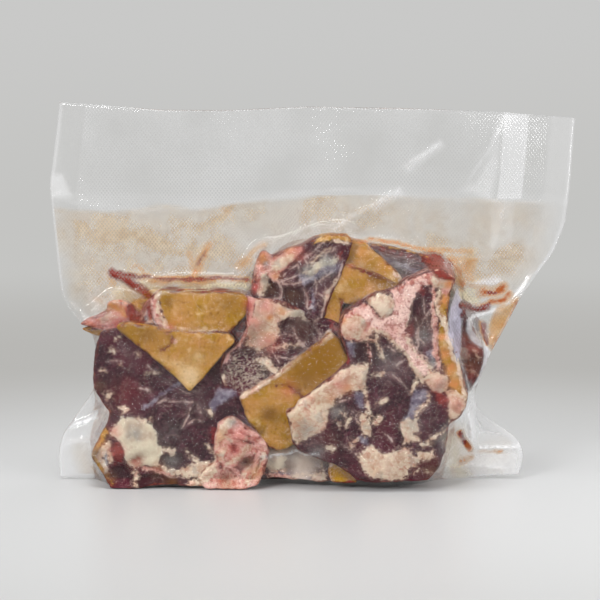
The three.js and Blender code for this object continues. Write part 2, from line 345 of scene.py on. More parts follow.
shownPieces["bloodyFat"] = {
    "outline": [
        109, 304, 118, 302, 128, 305, 135, 311, 140, 315, 146, 303, 157, 291, 159, 300, 158, 322, 166, 332,
        150, 330, 128, 328, 110, 330, 100, 328, 81, 324, 100, 316, 108, 311,
    ],
    "face": -13, "deep": 14, "round": 3, "lean": (0.06, -0.02), "seed": 11, "fibre": 15,
    "areas": {
        "pink": [
            [70, 296, 124, 296, 128, 308, 125, 322, 130, 334, 70, 340],
            [144, 322, 170, 317, 175, 340, 146, 336],
            [138, 313, 142, 304, 156, 288, 161, 291, 150, 305, 143, 317],
        ],
        "red": [[128, 308, 134, 313, 140, 316, 136, 322, 131, 320], [147, 308, 152, 305, 153, 312, 148, 316]],
        "fat": [[98, 320, 108, 313, 120, 314, 114, 320, 102, 323], [148, 322, 152, 323, 154, 328, 148, 327]],
        "sheen": [[148, 304, 157, 302, 157, 315, 150, 316]],
    },
    "lines": {
        "red": [
            [1.3, 82, 324, 100, 317, 109, 311], [1.3, 86, 328, 104, 327, 122, 325], [1.2, 112, 326, 124, 320],
        ],
        "fat": [[1.2, 140, 318, 146, 306, 156, 293], [1.3, 136, 315, 138, 323]],
    },
    "tones": [(102, 319, 7, 0.2), (124, 318, 10, -0.3)],
    "tints": {
        "orange": [(118, 306, 8, 0.25), (150, 322, 5, 0.4), (128, 327, 6, 0.4), (92, 323, 8, 0.2)],
        "flush": [(95, 322, 8, 0.35), (152, 308, 8, 0.35), (124, 316, 10, 0.5), (118, 322, 10, 0.5)],
        "brown": [(126, 326, 10, 0.5), (112, 307, 8, 0.25)],
    },
    "swells": [(140, 318, 6, -1.2), (120, 318, 8, 1), (150, 322, 6, 1.2), (104, 318, 8, 0.8)],
}
shownPieces["orangeSpike"] = {
    "outline": [82, 329, 94, 327, 106, 327, 112, 331, 106, 336, 97, 335],
    "face": -10, "deep": 10, "round": 1.6, "lean": (0.06, 0), "seed": 12, "fibre": 0,
    "areas": {"skin": [[60, 300, 130, 300, 130, 350, 60, 350]]}, "lines": {"red": [[1.4, 84, 329, 108, 328]]},
    "tones": [(95, 330, 8, -0.3)], "swells": [],
}
shownPieces["redCrumb"] = {
    "outline": [224, 334, 238, 325, 247, 318, 256, 322, 252, 336, 243, 347, 236, 353, 228, 348, 233, 342],
    "face": -17, "deep": 18, "round": 3, "lean": (0, 0), "seed": 13, "fibre": 60,
    "areas": {
        "red": [[215, 310, 270, 310, 270, 360, 215, 360]],
        "pink": [[243, 322, 249, 320, 251, 327, 245, 329], [240, 337, 246, 334, 247, 341, 241, 343]],
        "darkMeatAndShade": [[226, 334, 236, 332, 238, 343, 230, 342]],
    },
    "lines": {"fat": [[2, 244, 325, 248, 326]]}, "tones": [(245, 333, 6, 0.25)],
    "swells": [(246, 325, 4, 0.8), (233, 337, 4, -0.8)],
}
shownPieces["knuckle"] = {
    "outline": [
        218, 425, 225, 419, 233, 418, 244, 427, 255, 434, 264, 443, 267, 452, 265, 463, 262, 475, 256, 484,
        244, 489, 204, 488, 199, 478, 210, 467, 219, 461, 214, 449, 216, 436,
    ],
    "face": -28, "deep": 28, "round": 6, "lean": (0, -0.02), "seed": 17, "fibre": 40,
    "areas": {
        "pink": [[190, 400, 280, 400, 280, 500, 190, 500]],
        "fat": [
            [219, 427, 225, 418, 234, 419, 232, 426, 227, 431, 224, 439, 220, 445, 216, 449, 217, 438],
            [217, 454, 221, 449, 227, 444, 226, 451, 223, 458, 219, 462],
            [195, 466, 215, 461, 217, 472, 209, 481, 195, 486],
            [225, 463, 237, 456, 242, 448, 250, 443, 252, 447, 244, 453, 240, 461, 230, 467],
        ],
        "red": [
            [232, 443, 236, 443, 237, 453, 232, 452], [238, 439, 248, 440, 257, 444, 248, 444],
            [235, 470, 240, 462, 246, 457, 255, 455, 254, 462, 247, 469, 240, 474],
            [219, 462, 223, 464, 222, 471, 219, 469],
        ],
        "darkMeatAndShade": [[243, 462, 248, 460, 248, 464, 243, 466]],
    },
    "lines": {
        "fat": [
            [3.2, 246, 483, 253, 473, 259, 465, 264, 453], [1.4, 224, 434, 232, 440],
            [1.4, 243, 477, 250, 468],
        ],
        "red": [[1.5, 249, 479, 256, 470, 260, 459], [1.6, 228, 470, 236, 476], [1.2, 242, 430, 250, 437]],
        "darkMeatAndShade": [[1.9, 206, 471, 215, 469], [2.6, 215, 479, 224, 479, 236, 481]],
    },
    "tones": [(242, 433, 8, 0.1), (236, 458, 6, 0.2)],
    "tints": {
        "grey": [(233, 423, 6, 0.5), (246, 463, 6, 0.3)],
        "orange": [(256, 472, 8, 0.4), (221, 436, 6, 0.35), (228, 486, 10, 0.2)],
        "brown": [(247, 463, 7, 0.5), (226, 480, 9, 0.4)], "flush": [(240, 434, 9, 0.3), (235, 450, 9, 0.3)],
    },
    "swells": [
        (240, 437, 10, 1.8), (246, 464, 7, -1.8), (226, 430, 6, 1.4), (258, 470, 7, 1.2), (208, 474, 8, 0.8),
        (234, 447, 4, -0.8), (222, 453, 6, 1.2), (225, 480, 5, -0.9),
    ],
}
shownPieces["topPiece"] = {
    "outline": [
        252, 295, 255, 277, 259, 262, 261, 254, 265, 253, 270, 259, 276, 256, 288, 250, 302, 247, 314, 240,
        328, 236, 346, 236, 352, 241, 347, 258, 340, 275, 333, 291, 326, 305, 323, 316, 312, 321, 300, 314,
        280, 305, 262, 302,
    ],
    "face": -19, "deep": 19, "round": 3.4, "lean": (0.03, -0.1), "seed": 19, "fibre": 35,
    "areas": {
        "pink": [[
            250, 296, 254, 274, 257, 262, 264, 250, 272, 257, 288, 248, 302, 245, 303, 252, 294, 260, 287,
            267, 281, 276, 275, 283, 268, 276, 260, 284,
        ]],
        "fat": [
            [273, 262, 284, 256, 296, 252, 290, 262, 280, 271, 274, 270],
            [262, 275, 268, 274, 268, 284, 264, 292, 259, 294, 259, 284],
        ],
        "gristle": [[302, 272, 310, 267, 321, 262, 339, 257, 337, 262, 323, 268, 308, 275]],
        "sheen": [[298, 274, 321, 266, 340, 260, 338, 270, 322, 276, 304, 284]],
        "darkMeatAndShade": [
            [264, 285, 272, 283, 278, 286, 278, 296, 268, 297, 263, 293],
            [283, 287, 298, 287, 303, 296, 304, 306, 292, 305, 283, 298],
        ],
        "red": [[258, 255, 264, 252, 270, 261, 266, 266, 260, 264], [250, 283, 257, 280, 256, 294, 250, 295]],
        "skin": [[314, 242, 322, 234, 334, 231, 352, 232, 353, 240, 343, 240, 330, 239, 318, 242]],
    },
    "lines": {
        "fat": [
            [1.3, 310, 264, 320, 256, 331, 248], [1.6, 335, 240, 347, 244],
            [1.2, 326, 300, 330, 290, 336, 279],
        ],
        "web": [
            [1.3, 258, 292, 260, 297, 272, 298, 281, 296, 282, 288, 279, 282],
            [1.1, 307, 267, 304, 258, 317, 247, 324, 242], [0.9, 281, 283, 290, 277, 301, 273],
            [1.2, 283, 284, 298, 283, 304, 280, 310, 277], [1.4, 302, 289, 307, 297, 308, 308],
            [0.8, 308, 308, 317, 304], [1.1, 314, 318, 322, 316], [1.4, 342, 263, 337, 279, 330, 292],
            [1.4, 322, 314, 327, 301, 330, 290], [0.7, 297, 262, 301, 270, 300, 280],
            [0.7, 316, 284, 324, 280, 332, 272], [0.7, 312, 274, 318, 284, 315, 294],
            [0.7, 284, 276, 292, 268, 300, 260], [0.7, 324, 262, 328, 252, 336, 247],
            [0.7, 318, 292, 324, 298], [0.6, 308, 262, 314, 255, 318, 250], [0.6, 322, 268, 328, 276],
            [0.6, 332, 252, 338, 246],
        ],
        "sheen": [[2.2, 312, 290, 313, 307]],
        "red": [
            [1.3, 287, 268, 296, 258, 308, 250], [1.5, 344, 246, 338, 262], [1.1, 305, 292, 310, 302],
            [1.6, 272, 258, 288, 249, 302, 246],
        ],
    },
    "tones": [(284, 260, 8, 0.25), (262, 282, 5, 0.3)],
    "tints": {
        "orange": [(263, 259, 6, 0.5), (277, 276, 5, 0.4), (290, 250, 8, 0.35)],
        "grey": [
            (267, 264, 3.5, 0.6), (264, 281, 4, 0.35), (325, 275, 9, 0.2), (308, 270, 7, 0.5),
            (328, 262, 8, 0.5),
        ],
        "brown": [(271, 290, 6, 0.3), (292, 296, 9, 0.3)], "flush": [(300, 254, 8, 0.2), (256, 288, 5, 0.4)],
    },
    "swells": [
        (262, 272, 7, 1.6), (271, 290, 6, -2.2), (293, 296, 8, -1.8), (285, 260, 9, 1.2), (320, 268, 12, 0.8),
        (316, 250, 9, 0.8), (320, 300, 9, 0.8), (306, 296, 3, 1),
    ],
}
shownPieces["skinFoldFace"] = {
    "outline": [
        344, 262, 362, 269, 378, 276, 393, 283, 399, 284, 388, 292, 372, 298, 356, 305, 342, 301, 341, 326,
        331, 324, 322, 318, 323, 306, 330, 292, 338, 276,
    ],
    "face": -20, "deep": 19, "round": 2.2, "lean": (0.08, -0.1), "seed": 23, "fibre": 0,
    "areas": {"skin": [[300, 230, 420, 230, 420, 340, 300, 340]]},
    "lines": {
        "pink": [[2.2, 323, 310, 330, 293, 338, 276, 343, 264]],
        "red": [
            # the second line, along the top of this face, is painted shadow under the fold's top
            [2.2, 341, 301, 341, 326], [2.2, 345, 265, 362, 270, 378, 277, 393, 285],
            [2.4, 352, 304, 366, 300],
        ],
    },
    "tones": [
        (385, 283, 10, -0.55), (372, 277, 7, -0.45), (355, 284, 12, 0.05), (340, 288, 6, 0.5),
        (334, 312, 8, -0.15), (330, 297, 6, 0.25), (352, 297, 5, 0.15),
    ],
    "tints": {
        "olive": [(384, 284, 9, 0.6), (352, 282, 12, 0.3), (336, 300, 8, 0.25)],
        "orange": [(370, 290, 10, 0.3), (346, 270, 8, 0.35), (332, 316, 6, 0.35)],
        "brown": [(393, 284, 6, 0.6)],
    },
    "swells": [(358, 285, 15, 1.2), (341, 300, 4, -1)],
}
shownPieces["skinFoldTop"] = {
    "outline": [
        350, 239, 364, 245, 382, 260, 397, 275, 400, 280, 393, 283, 378, 276, 362, 268, 346, 263, 347, 250,
    ],
    "face": -15, "deep": 14, "round": 1.8, "lean": (0.05, -0.25), "seed": 24, "fibre": 0,
    "areas": {"skin": [[300, 230, 420, 230, 420, 340, 300, 340]]},
    "lines": {"fat": [[2.4, 393, 272, 400, 280]], "red": [[1.4, 350, 239, 362, 244]]},
    "tones": [(356, 250, 9, 0.25), (375, 262, 9, 0.25), (390, 275, 6, 0.35), (362, 266, 6, -0.2)],
    "tints": {
        "orange": [(360, 252, 10, 0.35), (384, 268, 8, 0.3)],
        "olive": [(372, 262, 8, 0.35), (350, 258, 6, 0.3)],
    },
    "swells": [(366, 260, 12, 0.8)],
}
shownPieces["darkEnd"] = {
    "outline": [358, 244, 385, 247, 410, 252, 432, 260, 450, 271, 446, 290, 420, 290, 396, 285, 380, 268],
    "face": -9, "deep": 10, "round": 4, "lean": (0.02, -0.12), "seed": 27, "fibre": 10,
    "areas": {
        "darkMeatAndShade": [[394, 281, 408, 278, 402, 289, 394, 289]],
        "red": [[420, 261, 440, 258, 452, 270, 448, 277, 432, 274], [362, 246, 374, 250, 372, 256, 364, 254]],
    },
    "lines": {
        "red": [[1.8, 366, 247, 400, 253, 426, 261]], "skin": [[2.2, 356, 242, 386, 245, 412, 251, 434, 260]],
        "pink": [[1.6, 396, 280, 414, 277, 432, 273]], "sheen": [[3, 380, 258, 398, 264, 416, 271]],
    },
    "tones": [(400, 262, 16, 0.1)],
    "tints": {"grey": [(400, 266, 14, 0.25)], "orange": [(440, 262, 7, 0.3)], "brown": [(385, 256, 8, 0.3)]},
    "swells": [(405, 266, 14, 0.8)],
}
shownPieces["middlePiece"] = {
    "outline": [
        245, 296, 256, 299, 280, 303, 300, 311, 318, 318, 330, 322, 342, 326, 346, 346, 336, 352, 322, 349,
        300, 359, 282, 371, 262, 385, 245, 398, 236, 393, 222, 387, 217, 372, 226, 356, 239, 345, 249, 328,
        247, 310,
    ],
    "face": -22, "deep": 22, "round": 4, "lean": (0, -0.06), "seed": 29, "fibre": -35,
    "areas": {
        "fat": [
            [256, 299, 276, 302, 294, 310, 290, 316, 281, 320, 278, 326, 280, 331, 276, 336, 272, 346, 260,
             352, 248, 345, 247, 330, 254, 318],
            [258, 359, 268, 358, 279, 370, 277, 373, 268, 369],
            [320, 341, 326, 334, 331, 331, 326, 344, 312, 353, 306, 354],
            [216, 384, 223, 376, 228, 386, 224, 391],
        ],
        "red": [[328, 322, 344, 324, 347, 346, 338, 350, 333, 334]],
        "pink": [
            [334, 326, 342, 328, 343, 338, 336, 334],
            [243, 294, 256, 298, 254, 314, 250, 330, 242, 342, 228, 358, 219, 370, 226, 352, 243, 330],
        ],
        "gristle": [[294, 309, 304, 311, 313, 318, 311, 322, 302, 318, 292, 315]],
        "darkMeatAndShade": [
            [298, 322, 312, 322, 318, 334, 308, 342, 298, 336],
            [281, 322, 290, 318, 297, 322, 288, 332, 280, 330], [284, 347, 296, 344, 302, 349, 290, 352],
            [250, 351, 256, 350, 256, 356, 251, 357],
        ],
    },
    "lines": {
        "fat": [[1.2, 241, 397, 262, 383, 285, 368, 300, 358, 320, 345], [0.8, 270, 348, 288, 345, 299, 345]],
        "web": [
            [0.8, 292, 312, 290, 321, 288, 330], [1, 291, 323, 296, 330, 298, 340, 308, 350],
            [1, 270, 348, 288, 345, 299, 345, 310, 350], [0.8, 307, 324, 308, 334, 305, 346],
            [0.7, 300, 326, 310, 332, 318, 342], [0.7, 314, 322, 312, 334], [0.7, 286, 334, 296, 334],
            [0.8, 278, 356, 290, 359, 300, 356], [0.8, 272, 352, 280, 362], [1, 303, 318, 316, 330, 322, 334],
            [0.6, 282, 340, 288, 352], [0.6, 300, 338, 304, 352],
        ],
        "red": [[2.2, 246, 298, 248, 316]],
    },
    "nets": [(247, 372, 24, 0.85), (262, 346, 12, 0.5), (300, 338, 12, 0.12)],
    "tones": [(275, 350, 8, 0.1), (300, 330, 16, -0.45)],
    "tints": {
        "grey": [(302, 314, 8, 0.3), (262, 343, 8, 0.2)],
        "brown": [(251, 338, 9, 0.5), (262, 329, 8, 0.3), (300, 317, 6, 0.3), (258, 312, 6, 0.2)],
        "orange": [(270, 317, 4, 0.6), (281, 310, 5, 0.45), (268, 336, 6, 0.3)],
        "flush": [(249, 305, 6, 0.5), (266, 306, 10, 0.35), (270, 344, 10, 0.35), (256, 322, 8, 0.35)],
    },
    "swells": [
        (268, 312, 10, 1.4), (300, 332, 13, 0.8), (272, 342, 8, 1.2), (248, 375, 14, 0.9), (288, 324, 6, -1),
        (254, 334, 6, -0.8), (268, 364, 6, 0.8),
    ],
}
shownPieces["bentSkin"] = {
    "outline": [
        241, 398, 262, 384, 285, 369, 300, 358, 318, 346, 330, 334, 338, 340, 345, 354, 349, 362, 338, 373,
        325, 383, 312, 392, 304, 397, 299, 404, 292, 411, 291, 420, 293, 434, 293, 443, 287, 447, 276, 449,
        267, 445, 258, 432, 250, 420, 245, 409,
    ],
    "face": -26, "deep": 25, "round": 2.6, "lean": (-0.02, 0.02), "seed": 31, "fibre": 0,
    "areas": {"skin": [[230, 320, 360, 320, 360, 460, 230, 460]]},
    "lines": {
        "fat": [[5, 240, 398, 262, 384, 285, 369, 300, 358, 318, 346, 331, 334]],
        "red": [
            [2.2, 276, 384, 287, 385, 297, 393, 304, 398], [1.6, 338, 340, 349, 360],
            [1.6, 300, 400, 296, 410],
        ],
        "sheen": [[4, 320, 343, 331, 334]],
    },
    "tones": [
        (318, 362, 17, -0.5), (302, 374, 12, -0.4), (268, 420, 18, -0.2), (334, 352, 9, -0.2),
        (270, 412, 7, -0.5), (275, 396, 10, 0.1), (272, 436, 10, 0.1), (285, 392, 9, 0.05),
        (312, 362, 5, 0.15), (292, 396, 8, 0.25), (288, 442, 6, 0.2), (255, 405, 8, 0.1),
    ],
    "tints": {
        "olive": [(318, 360, 21, 1), (300, 370, 14, 0.7), (334, 346, 10, 0.6), (272, 412, 12, 0.4)],
        "orange": [(278, 396, 13, 0.1), (276, 438, 12, 0.1), (292, 396, 7, 0.35), (252, 402, 9, 0.2)],
        "brown": [(308, 384, 9, 0.25), (260, 432, 5, 0.5), (270, 414, 8, 0.3), (298, 390, 6, 0.5)],
        "flush": [(288, 387, 8, 0.35)],
    },
    "swells": [(310, 368, 14, 1), (272, 412, 14, 1.2), (290, 388, 5, -1)],
}
shownPieces["chop"] = {
    "outline": [
        341, 322, 346, 313, 357, 306, 366, 300, 376, 294, 395, 291, 402, 284, 415, 279, 430, 273, 442, 271,
        455, 280, 449, 294, 447, 318, 451, 340, 459, 365, 466, 392, 465, 408, 458, 418, 448, 424, 447, 437,
        443, 452, 437, 468, 428, 478, 400, 482, 370, 482, 358, 479, 350, 472, 335, 463, 318, 456, 300, 449,
        293, 441, 290, 421, 288, 412, 296, 410, 302, 400, 318, 389, 332, 379, 346, 366, 350, 360, 345, 345,
        340, 333,
    ],
    "face": -30, "deep": 30, "round": 5, "lean": (-0.02, -0.04), "seed": 37, "fibre": 70,
    "areas": {
        "fat": [
            [366, 299, 375, 294, 387, 293, 392, 297, 395, 305, 394, 312, 389, 316, 382, 317, 375, 311, 370,
             307],
            [341, 325, 347, 318, 356, 316, 363, 320, 367, 326, 362, 335, 350, 340, 342, 334],
            [352, 365, 369, 366, 366, 380, 365, 388, 352, 389, 344, 394, 335, 401, 325, 412, 326, 422, 320,
             430, 314, 435, 297, 441, 290, 434, 289, 417, 286, 412, 295, 409, 300, 400, 310, 394, 326, 383,
             340, 372],
            [359, 415, 365, 413, 369, 420, 369, 434, 365, 436, 362, 428],
            [359, 455, 370, 447, 378, 451, 385, 455, 394, 451, 405, 446, 410, 448, 411, 455, 418, 461, 416,
             465, 408, 468, 403, 479, 397, 480, 383, 479, 370, 475, 362, 465],
            [401, 422, 409, 419, 417, 423, 416, 430, 412, 434, 410, 442, 404, 442, 402, 432],
            [411, 435, 419, 434, 419, 440, 413, 441], [417, 453, 431, 451, 432, 457, 420, 461],
            [447, 391, 457, 389, 464, 398, 463, 412, 456, 418, 449, 422, 448, 410, 449, 400],
            [428, 371, 437, 371, 447, 376, 450, 384, 447, 391, 437, 391, 430, 387, 424, 380],
            [433, 273, 442, 272, 447, 276, 448, 284, 440, 288, 433, 284],
        ],
        "pink": [
            [342, 318, 350, 311, 358, 306, 367, 304, 374, 311, 382, 318, 394, 314, 397, 303, 392, 291, 402,
             285, 412, 279, 426, 274, 436, 270, 449, 273, 457, 281, 450, 293, 446, 300, 440, 288, 432, 285,
             428, 284, 419, 288, 414, 298, 410, 312, 407, 323, 405, 331, 411, 343, 421, 355, 430, 367, 428,
             375, 421, 375, 412, 364, 402, 350, 395, 341, 386, 335, 375, 332, 364, 339, 350, 342, 340, 335,
             339, 325],
            [431, 289, 435, 288, 436, 310, 438, 340, 442, 366, 438, 370, 434, 355, 433, 312],
            [330, 385, 345, 374, 353, 372, 352, 384, 340, 391, 328, 400],
        ],
        "bone": [[
            356, 307, 366, 308, 374, 312, 382, 318, 392, 316, 397, 303, 394, 294, 404, 288, 413, 284, 424,
            280, 430, 284, 419, 288, 414, 298, 410, 312, 407, 323, 405, 331, 411, 343, 421, 355, 430, 367,
            430, 376, 421, 375, 411, 364, 401, 350, 394, 340, 386, 334, 375, 329, 366, 321, 358, 315,
        ]],
        "gristle": [[408, 301, 413, 297, 411, 312, 407, 327, 404, 329, 408, 314]],
        "sheen": [
            [414, 388, 429, 391, 430, 396, 418, 414, 415, 420, 404, 422, 405, 417, 411, 407],
            [355, 391, 364, 391, 365, 405, 362, 410, 356, 403], [360, 437, 367, 437, 366, 445, 361, 444],
            [347, 343, 354, 343, 354, 356, 349, 354], [428, 352, 436, 350, 437, 360, 432, 366],
        ],
        "red": [[431, 391, 437, 392, 446, 398, 445, 406, 436, 403], [341, 345, 347, 352, 350, 364, 344, 358]],
        "skin": [[
            441, 286, 447, 283, 451, 292, 448, 305, 447, 318, 449, 330, 453, 343, 459, 362, 464, 380, 467,
            394, 465, 402, 459, 400, 454, 388, 448, 374, 444, 360, 440, 345, 438, 328, 441, 312, 443, 300,
        ]],
        "darkMeatAndShade": [
            # the first is painted shadow along the chop's foot
            [358, 477, 375, 478, 400, 481, 426, 481, 430, 484, 400, 490, 358, 488],
            [349, 344, 360, 340, 372, 344, 380, 352, 380, 362, 370, 365, 356, 363],
            [396, 281, 406, 279, 400, 288, 395, 289], [408, 303, 413, 300, 411, 318, 407, 321],
        ],
    },
    "lines": {
        "fat": [
            [2.6, 348, 337, 362, 337, 376, 331, 387, 335, 397, 344, 406, 356, 416, 370, 424, 380],
            [1.7, 406, 336, 413, 349, 423, 359, 431, 370], [1.8, 363, 339, 375, 342, 381, 350, 384, 358],
            [1.6, 375, 342, 377, 336], [1.5, 373, 377, 378, 375, 383, 372],
            [1.8, 378, 404, 382, 401, 385, 399], [2.6, 376, 423, 378, 419, 380, 418],
            [1.4, 365, 386, 367, 395, 367, 405, 370, 420, 369, 435], [2, 411, 393, 414, 385, 418, 381],
            [1.4, 431, 394, 429, 401, 418, 412, 415, 421], [1.6, 422, 445, 435, 437, 446, 429],
            [2, 350, 448, 355, 440], [2.4, 328, 446, 333, 449], [1.6, 347, 425, 350, 419],
            [1.3, 340, 412, 346, 416], [1.2, 336, 420, 341, 426],
            [4.2, 443, 318, 448, 335, 455, 357, 463, 380, 467, 402],
            [2.4, 440, 289, 437, 300, 438, 312, 443, 324], [1.3, 424, 470, 430, 473],
            [1.2, 412, 472, 418, 468],
        ],
        "web": [
            [1.1, 421, 327, 417, 338, 418, 350, 428, 358], [0.7, 419, 338, 424, 344],
            [0.8, 416, 318, 421, 327], [0.7, 424, 300, 427, 315, 431, 330],
            [0.4, 430, 312, 421, 330, 416, 348], [0.8, 388, 346, 396, 352], [0.8, 396, 366, 404, 362],
            [0.8, 340, 402, 350, 398], [0.8, 352, 412, 358, 420], [0.8, 384, 434, 392, 440],
            [0.7, 392, 376, 402, 384, 408, 394], [0.8, 340, 444, 352, 452, 360, 456],
            [0.7, 420, 398, 426, 404],
        ],
        "darkMeatAndShade": [
            [2, 440, 362, 443, 373], [2.2, 453, 284, 449, 295, 447, 312], [1.4, 432, 444, 444, 436],
            [1.4, 360, 344, 366, 354, 364, 362],
        ],
        "pink": [[1.4, 366, 345, 370, 354, 369, 362]],
        "red": [
            [2, 399, 290, 400, 302, 401, 314], [2, 420, 286, 424, 292],
            [2.2, 386, 327, 399, 338, 411, 352, 424, 370],
        ],
    },
    "tones": [
        (383, 306, 9, 0.6), (386, 466, 15, 0.35), (437, 302, 5, 0.7), (436, 380, 8, 0.25),
        (354, 326, 7, 0.15), (310, 410, 9, 0.1), (360, 372, 7, 0.3), (457, 374, 8, 0.5), (449, 345, 7, 0.5),
        (423, 322, 13, -0.45),
    ],
    "tints": {
        "flush": [
            (352, 326, 7, 0.2), (438, 382, 9, 0.25), (361, 308, 5, 0.2), (400, 300, 5, 0.2),
            (421, 289, 5, 0.2), (341, 384, 9, 0.3), (456, 406, 7, 0.35), (410, 330, 6, 0.25),
            (445, 398, 6, 0.3), (392, 330, 8, 0.2),
        ],
        "orange": [
            (451, 283, 6, 0.6), (455, 383, 6, 0.95), (451, 369, 5, 0.9), (446, 354, 5, 0.9),
            (442, 338, 4, 0.8), (445, 302, 6, 0.8), (347, 387, 6, 0.4), (332, 398, 6, 0.3),
            (344, 320, 4, 0.5), (376, 470, 6, 0.15),
        ],
        "grey": [
            (425, 335, 11, 0.3), (336, 410, 9, 0.35), (308, 428, 9, 0.4), (392, 362, 14, 0.22),
            (433, 362, 5, 0.5), (412, 425, 8, 0.3), (318, 452, 10, 0.3),
        ],
        "brown": [(432, 470, 12, 0.35), (330, 440, 12, 0.15), (300, 436, 6, 0.3), (404, 462, 8, 0.1)],
        "olive": [(298, 420, 9, 0.25), (318, 400, 8, 0.12)],
    },
    "swells": [
        (353, 326, 9, 2.2), (376, 334, 7, 1), (402, 350, 8, 1.2), (420, 370, 8, 1.2), (437, 381, 9, 2.4),
        (383, 305, 10, 1.8), (440, 280, 8, 2), (390, 402, 20, 0.9), (423, 325, 10, -1.6), (305, 418, 14, 1.8),
        (340, 378, 12, 1), (386, 466, 16, 1.6), (456, 403, 8, 1.6), (400, 486, 12, -2), (428, 415, 12, 0.9),
        (448, 345, 8, 1.2), (365, 354, 9, -1.8), (337, 430, 12, -0.8), (361, 400, 5, -1), (412, 330, 4, -0.8),
    ],
}
shownPieces["lowMembrane"] = {
    "outline": [
        259, 449, 272, 449, 286, 448, 297, 444, 318, 452, 334, 458, 335, 480, 322, 480, 300, 478, 276, 475,
        262, 479, 256, 474, 260, 462,
    ],
    "face": -19, "deep": 19, "round": 4, "lean": (0, -0.03), "seed": 41, "fibre": 5,
    "areas": {
        "gristle": [[
            262, 449, 293, 446, 290, 452, 284, 452, 288, 458, 284, 468, 273, 472, 265, 468, 262, 458,
        ]],
        "pink": [[266, 474, 284, 474, 300, 480, 280, 482]],
        "sheen": [[271, 471, 290, 469, 312, 470, 312, 482, 290, 482, 272, 478]],
        "fat": [[313, 474, 326, 473, 326, 483, 316, 483]],
        "web": [[294, 450, 308, 450, 322, 458, 320, 468, 306, 462, 296, 462]],
        "darkMeatAndShade": [[283, 467, 298, 466, 300, 471, 286, 472], [326, 462, 331, 463, 331, 474, 327, 474]],
    },
    "lines": {
        "fat": [
            [1.6, 264, 450, 280, 452, 293, 448], [1.6, 296, 454, 304, 464, 300, 469],
            [1.6, 272, 472, 284, 470], [1.6, 308, 452, 318, 458, 324, 468],
            [1.6, 290, 478, 308, 474, 322, 476],
        ],
        "sheen": [[3, 304, 462, 320, 464]],
    },
    "tones": [(280, 456, 12, 0.7), (302, 475, 12, 0.8), (306, 460, 14, 0.8)],
    "tints": {
        "grey": [(302, 460, 14, 1), (272, 457, 6, 0.55), (320, 462, 9, 0.4), (290, 462, 6, 0.3)],
        "brown": [(306, 459, 10, 0.3), (290, 469, 8, 0.3)],
    },
    "swells": [(276, 458, 8, 1.4), (291, 468, 7, -1.4), (308, 458, 8, 1.2), (290, 477, 7, 1)],
}
shownPieces["skinWedge"] = {
    "outline": [332, 459, 340, 461, 347, 469, 354, 477, 356, 482, 333, 482, 330, 474],
    "face": -25, "deep": 22, "round": 2, "lean": (0, 0), "seed": 43, "fibre": 0,
    "areas": {"skin": [[300, 440, 380, 440, 380, 500, 300, 500]]},
    "lines": {"fat": [[2, 331, 462, 331, 488]], "red": [[1.6, 333, 482, 354, 483]]},
    "tones": [(340, 476, 7, -0.1)], "swells": [(342, 478, 7, 0.8)],
}
shownPieces["farEnd"] = {
    "outline": [
        450, 300, 458, 300, 464, 318, 470, 322, 475, 336, 481, 344, 484, 354, 482, 368, 477, 379, 468, 390,
        452, 392, 440, 360, 438, 320,
    ],
    "face": -8, "deep": 9, "round": 4, "lean": (0.05, -0.02), "seed": 47, "fibre": 80,
    "areas": {
        "darkMeatAndShade": [
            [462, 326, 467, 322, 472, 335, 478, 342, 476, 349, 466, 345],
            [459, 363, 468, 361, 470, 372, 463, 374],
        ],
        "gristle": [[457, 346, 466, 350, 468, 357, 462, 361, 456, 354]],
        "red": [[466, 377, 477, 373, 479, 379, 468, 390, 465, 384]],
        "sheen": [[446, 294, 458, 298, 462, 312, 458, 330, 452, 345, 444, 330]],
    },
    "lines": {
        "fat": [
            [1.6, 466, 371, 472, 372, 478, 376], [1.2, 460, 352, 470, 356], [1.2, 473, 350, 480, 358],
            [1, 462, 364, 470, 366],
        ],
        "red": [[2, 482, 344, 478, 330]],
    },
    "tones": [(470, 366, 8, 0.15)],
    "tints": {
        "brown": [(472, 340, 14, 0.5), (472, 362, 12, 0.5)],
        "flush": [(470, 345, 14, 0.28), (470, 370, 10, 0.2)], "grey": [(463, 355, 6, 0.4)],
    },
    "swells": [(470, 350, 10, 1.2), (470, 380, 7, 1), (464, 368, 5, -1)],
}
# The layer behind, which the photo doesn't show. Its outlines are in mm, as x, z from the front.
hiddenPieces = {}
hiddenPieces["backRind"] = {
    "outline": [-74, 44, -60, 36, -44, 50, -30, 60, -8, 74, 2, 88, -12, 94, -30, 82, -52, 68, -68, 56],
    "face": 29, "deep": 14, "round": 3, "lean": (0, -0.08), "seed": 73, "fibre": 0,
    "areas": {"skin": [[-90, 20, 20, 20, 20, 110, -90, 110]]},
    "lines": {
        "fat": [[5, -74, 45, -66, 57, -52, 69, -30, 83, -12, 95]], "red": [[1.6, -44, 52, -40, 62, -46, 70]],
    },
    "tones": [(-50, 56, 10, -0.4), (-22, 74, 9, 0.3), (-64, 48, 7, 0.2), (-6, 86, 7, -0.3)],
    "tints": {
        "olive": [(-34, 66, 14, 0.6)], "orange": [(-60, 48, 10, 0.3), (-8, 84, 8, 0.3)],
        "brown": [(-52, 60, 6, 0.3)],
    },
    "swells": [(-40, 62, 14, 1.2), (-12, 82, 9, 0.9)],
}
